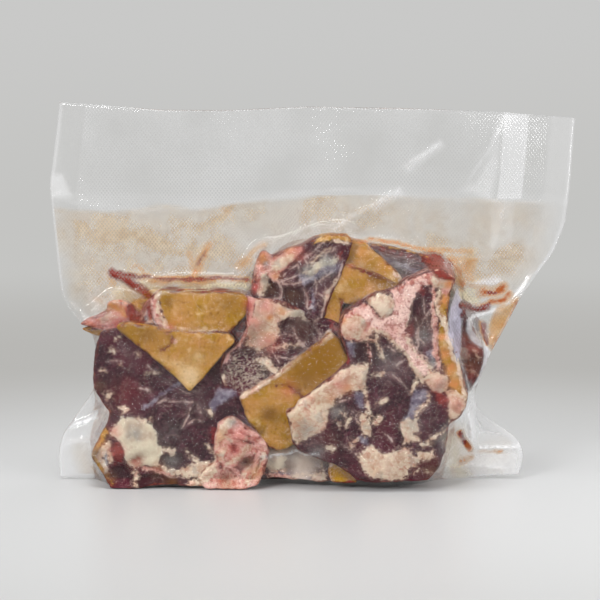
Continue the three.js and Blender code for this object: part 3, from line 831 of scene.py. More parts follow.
hiddenPieces["backLeftLow"] = {
    "outline": [-109, 0, -58, 0, -54, 29, -61, 53, -80, 60, -112, 54, -106, 39, -112, 20],
    "face": 25, "deep": 25, "round": 7, "lean": (0.02, -0.04), "seed": 51, "fibre": 20,
    "areas": {
        "fat": [[-114, 10, -96, 12, -90, 26, -98, 44, -114, 44], [-70, 0, -54, 0, -52, 22, -62, 20]],
        "bone": [[-92, 30, -84, 38, -74, 36, -72, 26, -80, 20, -90, 22]],
        "pink": [[-96, 18, -70, 14, -64, 40, -84, 46, -98, 38]], "skin": [[-66, 0, -50, 0, -50, 34, -58, 34]],
    },
    "lines": {"fat": [[2.2, -100, 52, -80, 50, -64, 44], [1.6, -88, 8, -74, 12]]},
    "nets": [(-80, 50, 12, 0.6)], "tones": [(-82, 30, 8, 0.3)],
    "tints": {
        "flush": [(-82, 30, 9, 0.3), (-60, 10, 8, 0.3)], "grey": [(-104, 20, 9, 0.3)],
        "orange": [(-100, 40, 8, 0.3)],
    },
    "swells": [(-82, 29, 9, 2), (-102, 28, 9, 1.4)],
}
hiddenPieces["backLeftHigh"] = {
    "outline": [-111, 56, -80, 61, -61, 56, -45, 72, -49, 98, -66, 102, -86, 101, -101, 90, -111, 80],
    "face": 21, "deep": 21, "round": 6, "lean": (0.04, -0.1), "seed": 53, "fibre": -20,
    "areas": {
        "skin": [[-115, 78, -84, 80, -52, 78, -44, 106, -116, 106]],
        "gristle": [[-62, 58, -46, 66, -52, 76, -66, 70]],
    },
    "lines": {
        "fat": [
            [4.5, -114, 77, -84, 79, -48, 77], [1.8, -106, 64, -88, 68, -74, 66], [1.4, -96, 72, -84, 70],
        ],
        "red": [[1.6, -92, 96, -84, 90, -72, 92]],
    },
    "tones": [(-78, 90, 9, -0.4), (-98, 86, 8, 0.3), (-62, 92, 8, 0.2)],
    "swells": [(-78, 84, 14, 1.6), (-58, 68, 7, 1.2)],
}
hiddenPieces["backMiddleLow"] = {
    "outline": [-56, 1, -5, 1, 8, 22, -2, 40, -8, 53, -26, 60, -44, 55, -60, 49, -51, 29],
    "face": 28, "deep": 28, "round": 7, "lean": (0, -0.05), "seed": 57, "fibre": 60,
    "areas": {
        "fat": [
            [-10, 0, -2, 0, 8, 25, -6, 52, -40, 60, -60, 52, -56, 46, -38, 50, -14, 44, -4, 26],
            [-44, 10, -34, 6, -30, 16, -38, 20],
        ],
        "sheen": [[-36, 30, -22, 26, -16, 36, -28, 42]], "pink": [[-58, 52, -50, 46, -30, 54, -36, 60]],
    },
    "lines": {
        "fat": [[2.2, -50, 30, -40, 34, -30, 30, -20, 20], [1.6, -24, 8, -16, 16], [1.6, -46, 40, -36, 42]],
        "darkMeatAndShade": [[1.8, -44, 24, -30, 22]],
    },
    "tones": [(-26, 20, 12, 0.15)],
    "tints": {
        "flush": [(-4, 20, 8, 0.3), (-50, 50, 8, 0.4)], "grey": [(-10, 44, 9, 0.4)],
        "brown": [(-40, 20, 10, 0.2)],
    },
    "swells": [(-30, 24, 16, 1.6), (-2, 26, 7, 1.2)],
}
hiddenPieces["backMiddleHigh"] = {
    "outline": [
        -44, 58, -26, 62, -8, 55, 4, 60, 18, 70, 15, 84, 20, 98, 8, 124, -10, 121, -22, 111, -38, 97, -40, 84,
        -46, 74,
    ],
    "face": 22, "deep": 22, "round": 6, "lean": (0, -0.14), "seed": 59, "fibre": 100,
    "areas": {
        "bone": [[-34, 92, -22, 98, -6, 92, 8, 96, 10, 88, -4, 82, -22, 86, -34, 84]],
        "pink": [[-40, 96, -20, 104, 16, 102, 18, 82, -6, 76, -38, 80]],
        "fat": [[-30, 112, -12, 116, 10, 118, 8, 130, -30, 122], [-44, 62, -30, 58, -30, 68, -42, 74]],
    },
    "lines": {
        "fat": [[2.2, -26, 62, -10, 70, 8, 66], [1.4, -14, 60, -8, 68], [1.8, -20, 108, 0, 110]],
        "red": [[2, -40, 78, -20, 76, 4, 76]],
    },
    "tones": [(-26, 90, 6, 0.3), (8, 92, 6, 0.3)],
    "swells": [(-28, 90, 8, 1.8), (6, 92, 8, 1.8), (-10, 66, 12, 0.8)],
}
hiddenPieces["backRightLow"] = {
    "outline": [0, 0, 60, 0, 69, 30, 58, 51, 29, 59, 9, 49, 8, 25],
    "face": 27, "deep": 27, "round": 7, "lean": (-0.03, -0.04), "seed": 61, "fibre": 10,
    "areas": {
        "skin": [[6, 42, 30, 48, 60, 42, 66, 54, 30, 64, 4, 56]],
        "fat": [[48, 0, 64, 0, 72, 30, 60, 40, 52, 22]], "gristle": [[10, 6, 22, 4, 26, 14, 16, 20]],
    },
    "lines": {
        "fat": [[4.5, 6, 42, 30, 47, 60, 41], [2, 20, 30, 34, 34, 46, 28], [1.6, 28, 12, 40, 16]],
        "sheen": [[4, 26, 22, 40, 24]],
    },
    "nets": [(40, 10, 12, 0.5)], "tones": [(34, 54, 8, -0.4), (18, 50, 7, 0.2), (36, 18, 12, 0.1)],
    "tints": {
        "olive": [(30, 54, 12, 0.4)], "flush": [(60, 14, 8, 0.4)], "orange": [(14, 50, 7, 0.4)],
        "grey": [(60, 34, 8, 0.3)],
    },
    "swells": [(34, 24, 15, 1.6), (60, 20, 8, 1.2)],
}
hiddenPieces["backRightHigh"] = {
    "outline": [18, 67, 31, 61, 59, 54, 80, 52, 87, 61, 86, 78, 72, 106, 45, 117, 23, 123, 21, 98],
    "face": 20, "deep": 20, "round": 6, "lean": (-0.05, -0.14), "seed": 67, "fibre": 130,
    "areas": {
        "fat": [[16, 66, 30, 60, 36, 70, 30, 96, 20, 98], [70, 50, 90, 58, 88, 78, 78, 74]],
        "bone": [[44, 74, 54, 80, 64, 76, 62, 66, 52, 62, 44, 66]],
        "pink": [[38, 78, 56, 88, 70, 80, 68, 60, 50, 56, 38, 64], [22, 112, 44, 108, 46, 120, 22, 126]],
    },
    "lines": {
        "fat": [[2.2, 36, 100, 50, 98, 66, 90], [1.6, 44, 108, 60, 102], [1.6, 30, 104, 40, 96]],
        "red": [[2, 38, 84, 54, 92, 70, 84]],
    },
    "nets": [(50, 102, 12, 0.5)], "tones": [(54, 71, 7, 0.3)],
    "tints": {
        "flush": [(54, 71, 9, 0.4), (28, 84, 8, 0.3)], "orange": [(84, 62, 8, 0.4)],
        "grey": [(26, 74, 7, 0.4)],
    },
    "swells": [(54, 71, 9, 2), (26, 80, 8, 1.2)],
}


def frontOf(piece):
    # which way a piece faces along y
    return -1 if piece["face"] < 0 else 1


def placed(piece, numbers):
    # points of a piece as (x, z) in mm on its own face
    return seenAt(numbers, piece["face"]) if piece["face"] < 0 else paired(numbers)


def pixelSize(piece):
    # mm covered by one unit of a piece's own outline
    return pixelAt(photo["distance"] + piece["face"]) if piece["face"] < 0 else 1.0


def spotsOn(piece, flat, spots):
    # for each soft spot the distance of all points from its middle, in radii, and its strength
    for x, y, radius, strength in spots:
        centre = np.array(placed(piece, (x, y))[0])
        yield np.linalg.norm(flat - centre, axis=1) / (radius * pixelSize(piece)), strength


def grown(outline, distance):
    # the outline moved outward by a distance at each of its corners
    ring = np.array(outline, float)
    area = np.sum(ring[:, 0] * np.roll(ring[:, 1], -1) - np.roll(ring[:, 0], -1) * ring[:, 1])
    ahead = np.roll(ring, -1, axis=0) - ring
    ahead /= np.linalg.norm(ahead, axis=1)[:, None]
    outward = np.stack([ahead[:, 1], -ahead[:, 0]], axis=1) * np.sign(area)
    corner = outward + np.roll(outward, 1, axis=0)
    corner /= np.maximum(np.linalg.norm(corner, axis=1), 0.5)[:, None]
    return [tuple(p) for p in ring + corner * distance]


def blockMesh(name, piece):
    # the piece's outline, drawn out to its depth and rounded, then given an even surface
    front = frontOf(piece)
    outline = grown(placed(piece, piece["outline"]), meat["grow"] if front < 0 else meat["hiddenGrow"])
    inner = piece["face"] - front * piece["deep"]
    block = bmesh.new()
    block.faces.new([block.verts.new((x * mm, inner * mm, z * mm)) for x, z in outline])
    bmesh.ops.bevel(
        block, geom=list(block.verts), offset=meat["cornerRound"] * mm, segments=2, profile=0.5,
        affect="VERTICES", material=-1)
    drawn = bmesh.ops.extrude_face_region(block, geom=list(block.faces))
    top = [v for v in drawn["geom"] if isinstance(v, bmesh.types.BMVert)]
    bmesh.ops.translate(block, verts=top, vec=(0, front * piece["deep"] * mm, 0))
    bmesh.ops.recalc_face_normals(block, faces=block.faces)
    rims = [e for e in block.edges if all(abs(v.co.y - piece["face"] * mm) < 1e-6 for v in e.verts)]
    bmesh.ops.bevel(
        block, geom=rims, offset=piece["round"] * meat["roundShare"] * mm, segments=meat["roundSegments"],
        profile=0.5, affect="EDGES", clamp_overlap=True, material=-1)
    body = bodyOf(name, block)
    even = body.modifiers.new("evenSurface", "REMESH")
    even.mode = "VOXEL"
    even.voxel_size = (meat["voxel"] if front < 0 else meat["coarseVoxel"]) * mm
    even.use_smooth_shade = True
    easing = body.modifiers.new("easing", "SMOOTH")
    easing.factor = meat["easing"]
    easing.iterations = meat["easingSteps"]
    rough = body.data
    evaluated = body.evaluated_get(bpy.context.evaluated_depsgraph_get())
    finished = bpy.data.meshes.new_from_object(evaluated)
    body.modifiers.clear()
    body.data = finished
    bpy.data.meshes.remove(rough)
    finished.name = name
    return body


def meshVectors(mesh, what):
    flat = np.empty(len(mesh.vertices) * 3)
    mesh.vertices.foreach_get(what, flat)
    return flat.reshape(-1, 3)


def shapeFace(piece, mesh):
    # leans the face, lifts its swells and gives it the lumps, grain and fibres of cut meat
    points, normals = meshVectors(mesh, "co") / mm, meshVectors(mesh, "normal")
    flat = points[:, [0, 2]]
    front = frontOf(piece)
    middle = np.array(placed(piece, piece["outline"])).mean(axis=0)
    drawnOut = front * piece["deep"]
    faceShare = np.clip((points[:, 1] - (piece["face"] - drawnOut)) / drawnOut, 0, 1)
    rise = (flat - middle) @ np.array(piece["lean"])
    facing = np.clip(normals[:, 1] * front, 0, 1)
    for gap, height in spotsOn(piece, flat, piece["swells"]):
        rise = rise + height * np.exp(-gap * gap) * facing
    points[:, 1] += front * rise * faceShare
    angle = math.radians(piece["fibre"])
    along = points @ np.array([math.cos(angle), 0, math.sin(angle)])
    across = points @ np.array([-math.sin(angle), 0, math.cos(angle)])
    fibres = np.stack([along * meat["fibreStretch"], points[:, 1], across], axis=1)
    relief = np.zeros(len(points))
    for salt, (part, where) in enumerate((("lump", points), ("grain", points), ("fibre", fibres))):
        relief += meat[part + "Rise"] * softNoise(where, meat[part + "Size"], piece["seed"] + salt)
    for finish, height in meat["raised"].items():
        edge = np.empty(len(points), np.float32)
        mesh.attributes[finish].data.foreach_get("value", edge)
        relief += height * smoothStep(-0.6, 1.2, edge)
    points += normals * relief[:, None]
    points[:, 2] = np.maximum(points[:, 2], meat["lowest"])
    mesh.vertices.foreach_set("co", (points * mm).ravel())
    mesh.update()


def paintFinishes(piece, mesh):
    points = meshVectors(mesh, "co") / mm
    flat = points[:, [0, 2]]
    wobble = meat["hiddenWobble"] if piece["face"] > 0 else meat["paintWobble"]
    for size, share, salt in meat["wobbles"]:
        flat = flat + wobble * share * wander(points, size, piece["seed"] + salt)
    # thin lines swell, thin out and break
    least, swing, size = meat["thinning"]
    thinning = least + swing * softNoise(points, size, piece["seed"] + 9)
    scale, reach = pixelSize(piece), meat["paintReach"]
    ring = placed(piece, piece["outline"])
    setAttribute(mesh, "seam", np.clip(meat["grow"] + insideBy(flat, ring), -1, reach))
    for finish in finishes:
        edge = np.full(len(flat), -reach)
        for area in piece["areas"].get(finish, []):
            edge = np.maximum(edge, insideBy(flat, placed(piece, area)))
        for width, *path in piece["lines"].get(finish, []):
            half = width * scale / 2 + thinning * min(0.6, width * scale / 3)
            edge = np.maximum(edge, half - distanceToPath(flat, placed(piece, path)))
        setAttribute(mesh, finish, np.clip(edge, -reach, reach))
    tone, net = np.zeros(len(flat)), np.zeros(len(flat))
    for gap, lightness in spotsOn(piece, flat, piece["tones"]):
        tone += lightness * np.exp(-gap * gap)
    for gap, strength in spotsOn(piece, flat, piece.get("nets", [])):
        net = np.maximum(net, strength * (1 - smoothStep(0.6, 1.1, gap)))
    setAttribute(mesh, "tone", tone)
    setAttribute(mesh, "net", net)
    for tint in meat["tints"]:
        value = np.zeros(len(flat))
        for gap, strength in spotsOn(piece, flat, piece.get("tints", {}).get(tint, [])):
            value = np.maximum(value, strength * np.exp(-gap * gap))
        setAttribute(mesh, tint + "Tint", value)


# materials

building = {}  # the node tree that is being built


class Value:
    # what a node gives out, which can be added, subtracted and multiplied like a number
    def __init__(self, socket):
        self.socket = socket

    def __add__(self, other):
        return calc("ADD", self, other)

    def __radd__(self, other):
        return calc("ADD", other, self)

    def __sub__(self, other):
        return calc("SUBTRACT", self, other)

    def __rsub__(self, other):
        return calc("SUBTRACT", other, self)

    def __mul__(self, other):
        return calc("MULTIPLY", self, other)

    __rmul__ = __mul__


def newMaterial(name):
    material = bpy.data.materials.new(name)
    material.use_nodes = True
    building["tree"] = material.node_tree
    material.node_tree.nodes.clear()
    return material


def feed(socket, value):
    # a socket takes the output of another node or a constant
    if isinstance(value, Value):
        building["tree"].links.new(value.socket, socket)
    elif value is not None:
        socket.default_value = value


def made(kind, inputs=None, output=0, **settings):
    # a new node with its settings and inputs, as the value that it gives out
    node = building["tree"].nodes.new("ShaderNode" + kind)
    for key, value in settings.items():
        setattr(node, key, value)
    for socket, value in (inputs or {}).items():
        feed(node.inputs[socket], value)
    return Value(node.outputs[output])


def showSurface(shader):
    feed(building["tree"].nodes.new("ShaderNodeOutputMaterial").inputs["Surface"], shader)


def calc(operation, first, second=None):
    return made("Math", {0: first, 1: second}, operation=operation)


def clamped(value):
    value.socket.node.use_clamp = True
    return value


def larger(first, second):
    return calc("MAXIMUM", first, second)


def attributeOf(name):
    return made("Attribute", output="Fac", attribute_name=name)


def ramp(value, low, high):
    inputs = {"Value": value, "From Min": low, "From Max": high}
    return made("MapRange", inputs, "Result", interpolation_type="SMOOTHSTEP")


def linear(red, green, blue):
    # an sRGB colour in 0 to 255 as Blender's linear colour
    def one(c):
        c /= 255
        return c / 12.92 if c <= 0.04045 else ((c + 0.055) / 1.055) ** 2.4
    return one(red), one(green), one(blue), 1.0


def blendColour(share, first, second):
    # a mix node's colours are its sockets 6 and 7, and its output 2
    return made("Mix", {0: share, 6: first, 7: second}, 2, data_type="RGBA")


def mixShaders(share, first, second):
    return made("MixShader", {0: share, 1: first, 2: second})


def noiseOf(where, scale, detail=3.0, roughness=0.55, distortion=0.0):
    inputs = {
        "Vector": where, "Scale": scale, "Detail": detail, "Roughness": roughness, "Distortion": distortion}
    return made("TexNoise", inputs, "Fac")


def cellsOf(where, scale):
    return made("TexVoronoi", {"Vector": where, "Scale": scale}, "Distance")


def stretched(where, degrees, factor=1.0):
    # the place turned about y and scaled along its own x
    turn = (0, math.radians(degrees), 0)
    return made("Mapping", {"Vector": where, "Rotation": turn, "Scale": (factor, 1, 1)}, "Vector")


def thinLines(where, scale, width, distortion=1.0):
    # the thin wandering lines along which a noise passes its middle value
    return ramp(calc("ABSOLUTE", noiseOf(where, scale, 2.5, 0.55, distortion) - 0.5), width, width * 0.35)


def bumped(height, strength, distance):
    return made("Bump", {"Height": height, "Strength": strength, "Distance": distance * mm}, "Normal")


meatColours = {
    "muscle": (76, 28, 42), "muscleDeep": (38, 8, 20), "muscleBright": (108, 54, 70),
    "muscleWine": (96, 28, 44), "muscleGrey": (84, 60, 66), "fleck": (196, 172, 164), "fat": (221, 205, 183),
    "fatShade": (190, 154, 130), "fatRose": (208, 148, 130), "pink": (226, 180, 170),
    "pinkDeep": (186, 112, 100), "skin": (186, 137, 62), "skinOlive": (174, 130, 20),
    "skinPale": (224, 196, 152), "skinBrown": (118, 74, 8), "bone": (238, 208, 198),
    "bonePore": (166, 98, 92), "red": (140, 44, 42), "redDeep": (78, 18, 24), "darkMeatAndShade": (54, 28, 32),
    "sheen": (126, 118, 140), "sheenPale": (184, 182, 194), "gristle": (216, 206, 184),
    "gristleShade": (188, 166, 146), "web": (188, 156, 146), "seam": (150, 84, 64),
    "orangeTint": (210, 144, 84), "greyTint": (150, 146, 142), "brownTint": (104, 70, 48),
    "flushTint": (196, 88, 78), "oliveTint": (152, 106, 6), "light": (240, 220, 204), "shade": (104, 62, 46),
}
# the noises that roughen the meat: scale, detail, roughness, distortion
meatNoises = {
    "fine": (1700, 2, 0.6), "grain": (700, 3, 0.62), "mottle": (260, 4, 0.62), "broad": (95, 3, 0.6),
    "strands": (1000, 4, 0.65, 0.8), "wine": (47, 2), "grey": (39, 2), "patches": (120, 2),
    "fatGrey": (150, 2), "flecks": (1100, 2, 0.5),
}


def meatMaterial(name, fibre, marbling):
    # raw cut meat: a finish lies over the muscle where its painted distance, roughened by noise, is above 0
    material = newMaterial(name)
    colours = {key: linear(*value) for key, value in meatColours.items()}
    where = made("TexCoord", output="Object")
    drawn, slanting = stretched(where, fibre, 0.5), stretched(where, fibre + 25, 0.5)
    fine, grain, mottle, broad, wine, grey, patches, fatGrey = (
        noiseOf(where, *meatNoises[key])
        for key in ("fine", "grain", "mottle", "broad", "wine", "grey", "patches", "fatGrey"))
    strands = noiseOf(drawn, *meatNoises["strands"])
    flecks = noiseOf(slanting, *meatNoises["flecks"])
    edgeNoise = 4.2 * (grain - 0.5) + 3.6 * (mottle - 0.5) + 2.5 * (strands - 0.5)

    def edgeOf(finish, soft=0.35, rough=1.0):
        # mostly a crisp edge, with a thin soft border beyond it
        reach = attributeOf(finish) + rough * edgeNoise
        return 0.8 * ramp(reach, -soft, soft) + 0.2 * ramp(reach, -2.2, 0.6)

    def shaded(value, low, high, first, second):
        return blendColour(ramp(value, low, high), colours[first], colours[second])

    def layers(base, *steps):
        # lays colours over the base: how strongly, where and which
        for amount, place, colour in steps:
            base = blendColour(amount * place, base, colours.get(colour, colour))
        return base

    # muscle: fibres, lighter and darker bundles, pale flecks, partly fat and partly painted glints of the
    # film, and thin webs of fat
    patches = ramp(patches, 0.46, 0.58)
    hairs = thinLines(stretched(where, fibre + 40, 0.45), 560, 0.045, 1.6)
    colour = layers(
        shaded(strands, 0.34, 0.66, "muscleDeep", "muscle"),
        (0.45, ramp(wine, 0.5, 0.62), "muscleWine"),
        (0.5, ramp(grey, 0.5, 0.38), "muscleGrey"),
        (0.55, ramp(mottle, 0.5, 0.68), "muscleBright"),
        (0.6, ramp(broad, 0.48, 0.34), "muscleDeep"),
        (0.45, ramp(grain, 0.57, 0.7), "muscleBright"),
        (0.3, ramp(fine, 0.58, 0.72), "web"),
        (marbling * 0.8, thinLines(drawn, 260, 0.018) * patches, "web"),
        (marbling, ramp(flecks, 0.65, 0.69) * ramp(broad, 0.42, 0.56), "fleck"),
        (0.8, hairs * attributeOf("net"), "fat"),
        (0.95, edgeOf("web", 0.3, 0.45), shaded(grain, 0.42, 0.62, "web", "fleck")),
        # painted shade in gaps and openings, with darker meat
        (0.8, edgeOf("darkMeatAndShade", 0.9), "darkMeatAndShade"),
        # a painted blue-grey reflection of the film
        (0.6, edgeOf("sheen", 1.2), shaded(mottle, 0.42, 0.66, "sheen", "sheenPale")))
    # what lies over it
    tone = attributeOf("tone")
    pinkShade = layers(
        shaded(mottle, 0.36, 0.6, "pinkDeep", "pink"),
        (0.7, ramp(grain, 0.52, 0.68), "fat"),
        (0.5, thinLines(where, 130, 0.018), "red"),
        (0.4, ramp(grain, 0.44, 0.34), "redDeep"))
    gristleShade = layers(
        shaded(broad, 0.36, 0.58, "gristleShade", "gristle"), (0.3, ramp(grain, 0.46, 0.36), "fatShade"))
    fatShade = layers(
        shaded(mottle, 0.34, 0.58, "fatShade", "fat"),
        (0.5, ramp(broad, 0.54, 0.68), "fatRose"),
        (0.38, ramp(grain, 0.47, 0.35), "pinkDeep"),
        (0.5, thinLines(drawn, 170, 0.016), "pinkDeep"),
        (0.35, ramp(fatGrey, 0.56, 0.66), "greyTint"),
        (0.85, ramp(tone, 0.1, 0.7), "fat"))
    boneShade = layers(
        colours["bone"],
        (0.75, ramp(cellsOf(where, 900), 0.42, 0.16), "bonePore"),
        (0.75, ramp(mottle, 0.5, 0.38), "bonePore"),
        (0.4, ramp(grain, 0.54, 0.68), "fat"))
    # skin: ochre with olive and brown clouds, fine grain and pores
    skinPores = ramp(cellsOf(where, 1300), 0.24, 0.1)
    skinShade = layers(
        shaded(broad, 0.44, 0.6, "skin", "skinOlive"),
        (0.6, ramp(mottle, 0.52, 0.68), "skinPale"),
        # the tones turn it brown and pale, partly as painted shade and painted highlights
        (1.0, ramp(tone, -0.08, -0.75), "skinBrown"),
        (1.0, ramp(tone, 0.1, 0.85), "skinPale"),
        (0.6, ramp(grain, 0.45, 0.33), "skinBrown"),
        (0.5, ramp(fine, 0.56, 0.7), "skinPale"),
        (0.4, skinPores, "skinBrown"))
    pink, fat, red = edgeOf("pink", 0.5), edgeOf("fat", 0.4), edgeOf("red", 0.6)
    skin = edgeOf("skin") * (1.0 - larger(fat, larger(red, pink)))
    softened = 0.8 + ramp(mottle, 0.34, 0.62)
    # a red-brown is laid along each piece's outline: blood in the seams between the pieces, with painted
    # shade there
    seam = ramp(attributeOf("seam") + 5.0 * (mottle - 0.5), 1.3, 0.1)
    notSkin = 1.0 - skin
    colour = layers(
        colour,
        (1.0, pink, pinkShade),
        (1.0, edgeOf("gristle", 0.5), gristleShade),
        (0.4, ramp(attributeOf("fat") + 1.4 * edgeNoise, -1.2, 0.2), "fatShade"),
        (1.0, fat, fatShade),
        (0.85, red, shaded(mottle, 0.42, 0.66, "redDeep", "red")),
        (1.0, edgeOf("bone", 0.45) * (1.0 - fat), boneShade),
        (1.0, skin, skinShade),
        *((1.0, clamped(attributeOf(tint + "Tint") * softened), tint + "Tint") for tint in meat["tints"]),
        (0.75, seam * ramp(patches, -0.6, 0.9), shaded(grain, 0.4, 0.6, "redDeep", "seam")),
        # painted highlights and painted shade, with paler and darker patches of the meat, from the tones
        (0.5, ramp(tone, 0.0, 1.0) * notSkin, "light"),
        (0.7, ramp(tone, 0.0, -1.0) * notSkin, "shade"))
    showSurface(made("BsdfPrincipled", {
        "Base Color": colour,
        "Roughness": 0.4 + 0.25 * fine,
        "Subsurface Weight": 0.05,
        "Subsurface Radius": (1.0, 0.35, 0.25),
        "Subsurface Scale": 0.0015,
        "Specular IOR Level": 0.12,
        "Normal": bumped(0.5 * strands + 0.8 * grain - 0.3 * (skinPores * skin), 0.5, 0.6),
    }))
    return material


# how strongly the muscle is marbled, where it isn't as usual
marblings = {"leftSlab": 0.35, "middlePiece": 0.75, "topPiece": 0.75, "chop": 0.45, "backMiddleLow": 0.6}
usualMarbling = 0.55


def makePiece(name, piece):
    body = blockMesh(name, piece)
    paintFinishes(piece, body.data)
    shapeFace(piece, body.data)
    smoothShaded(body, meatMaterial(name + "Surface", piece["fibre"], marblings.get(name, usualMarbling)))
    return body


shownBodies = [makePiece(*item) for item in shownPieces.items()]
print("shown pieces of meat made:", len(shownBodies))
hiddenBodies = [makePiece(*item) for item in hiddenPieces.items()]
print("pieces behind them made:", len(hiddenBodies))

# film

film = {
    "columns": (24, 170, 40),  # left of the meat, over it and right of it
    "meatLeft": -107.0, "meatRight": 80.0,
    "rowsMeat": 142, "rowsHeader": 44, "meatTop": 135.0, "headerTop": 199.0,
    "half": 0.32,  # half the distance between the two films where nothing lies between them
    "rim": 0.1,
    "clearance": 0.35,
    "sway": 5.0, "swayLength": 150.0,
    "settledX": (-142, 143), "settledZ": (-2, 208),  # where the film is settled, in steps of 1 mm
    "settleCoarse": 60, "settleFine": 70, "suction": 0.12,
    "nearSteps": 60,  # how far the meat's nearness is spread
    "crumple": 0.7, "crumpleSize": 6.0, "crumplePower": 8, "crumpledOnMeat": 0.25, "crumpleSeeds": (71, 73),
    "least": 0.22,  # mm that the film keeps over the meat
    "footHeight": 9.0, "footPinch": 0.16, "pinchFrom": 6,  # mm from the middle plane
    "netSpacing": 1.45, "netLean": 38,  # the embossed net, in mm and degrees
    "flapFrom": (-112, 66), "flapRun": 50, "flapLift": 3,  # mm by which the corner flaps hang above the foot
}
leftEdge = [
    0, -136, 11, -137, 22, -135, 30, -130, 40, -123, 48, -117.5, 62, -116, 72, -116, 80, -119, 86, -126, 92,
    -131.5, 100, -134.5, 119, -136.5, 140, -138.5, 155, -140, 177, -137, 200, -134,
]
rightEdge = [
    0, 111, 6, 113.5, 14, 113.5, 20, 110.5, 26, 103, 32, 94, 38, 88.5, 46, 87, 52, 89, 60, 92.5, 70, 96.5, 80,
    102, 97, 110.5, 111, 119.5, 124, 128.5, 140, 134.5, 161, 137, 200, 140,
]
topEdge = [
    -140, 203, -122, 201.5, -80, 198, -45, 198, -5, 200, 45, 199, 100, 197, 140, 194,
]
# folds of the film: path in pixels of the photo, rise and width in mm, and how strong the painted highlight
# along the ridge is
shownFolds = [
    ([108, 272, 122, 280, 146, 293], 1.4, 1.8, 0), ([112, 273, 150, 277, 200, 279, 250, 277], 0.4, 1.6, 0),
    ([166, 288, 200, 285, 248, 284], 0.6, 2.2, 0.15), ([80, 322, 108, 312, 126, 316], 1.6, 1.8, 0.2),
    ([84, 330, 110, 326], 1.2, 1.5, 0.2), ([66, 300, 84, 316, 104, 322], 1.2, 2.2, 0.25),
    ([458, 288, 475, 284, 500, 283, 508, 285], 0.6, 1.4, 0.2),
    ([455, 300, 470, 308, 490, 309], 1.2, 1.8, 0.1),
    ([482, 345, 472, 338, 467, 328, 470, 319, 486, 315, 502, 312, 514, 304, 524, 293, 534, 272], 1.6, 1.6,
     0.22),
    ([263, 448, 273, 449, 290, 448, 296, 443, 306, 447, 318, 444], 0.6, 1, 0.9),
    ([386, 480, 408, 483, 428, 481], 0.6, 1, 0.8), ([110, 445, 110, 462], 0.4, 1, 0.7),
    ([466, 398, 458, 416, 449, 426, 448, 440, 440, 464, 430, 480], 0.8, 1.1, 0.6),
    ([92, 458, 102, 474, 112, 486], 0.8, 1.1, 0.5), ([94, 380, 100, 398, 110, 412], 0.5, 1, 0.4),
    ([450, 300, 446, 320, 453, 345, 463, 372, 468, 392], 1.2, 1.4, 0.55),
    ([484, 336, 490, 352, 491, 368, 486, 380], 1.4, 1.6, 0.9), ([486, 365, 492, 345, 500, 330], 1, 1.5, 0.3),
    ([472, 449, 498, 449, 521, 449], 1.6, 1.1, 1), ([464, 425, 468, 438, 475, 449], 1.2, 1.3, 0.6),
    ([440, 440, 458, 446, 475, 452], 0.8, 2, 0.1), ([436, 470, 470, 466, 510, 470], 1.2, 3, 0.3),
    ([466, 398, 470, 420, 474, 446], 1.4, 1.6, 0.7), ([68, 428, 84, 423, 98, 417], 1.8, 1.8, 0.9),
    ([98, 445, 80, 442, 62, 446], 1.2, 2.6, 0.25), ([330, 232, 350, 218, 372, 206, 400, 190], 1.4, 2.6, 0.3),
    ([405, 165, 424, 155, 442, 142], 0.9, 2.4, 0.35), ([500, 126, 490, 150, 466, 186], 1.2, 3, 0.2),
    ([258, 262, 262, 246, 276, 236], 1, 2, 0.1), ([352, 240, 372, 236, 400, 240], 1, 2.4, 0.2),
    ([440, 272, 460, 262, 486, 258, 528, 254], 0.9, 2.8, 0.12),
    ([505, 205, 500, 230, 490, 262], 0.9, 2.6, 0.1), ([188, 276, 192, 262, 207, 250], 0.4, 1.8, 0),
    ([50, 198, 80, 205, 140, 212, 200, 208, 260, 200, 340, 190, 400, 197, 500, 202, 546, 203], 0.5, 1.8,
     0.12),
]
hiddenFolds = [  # in mm
    ([-120, 96, -96, 101, -58, 106], 1.8, 2.2, 0.3), ([-126, 88, -108, 84], 1.4, 2, 0.5),
    ([-60, 104, -40, 112, -28, 126], 1.6, 2.2, 0.2), ([78, 96, 98, 100, 112, 104], 1.8, 2, 0.5),
    ([70, 112, 90, 118, 112, 116], 1.4, 2.2, 0.3), ([12, 128, 30, 136, 56, 150], 1.2, 2.4, 0.2),
    ([-30, 126, -50, 140, -62, 150], 1.2, 2.4, 0.2), ([84, 40, 92, 26, 104, 24], 1.6, 2, 0.8),
    ([-112, 42, -122, 32, -134, 28], 1.6, 2.2, 0.8), ([-96, 108, -100, 124], 1, 2, 0.2),
    ([48, 122, 58, 136], 1, 2, 0.2),
]


def easedCurve(numbers, values):
    # the height of a curve at each value, rounded off a little
    places, heights = zip(*paired(numbers))
    return sum(np.interp(values + shift, places, heights) for shift in (-3, -1, 1, 3)) / 4


def middlePlane(x, z):
    above = smoothStep(film["meatTop"], film["headerTop"], z)
    return midPlane + film["sway"] * above * np.sin(2 * math.pi * (x + 0.25 * z) / film["swayLength"])


def bottomAt(x):
    left, right = film["flapFrom"]
    past = np.maximum(np.maximum(left - x, x - right), 0)
    return film["flapLift"] * smoothStep(0, film["flapRun"], past)


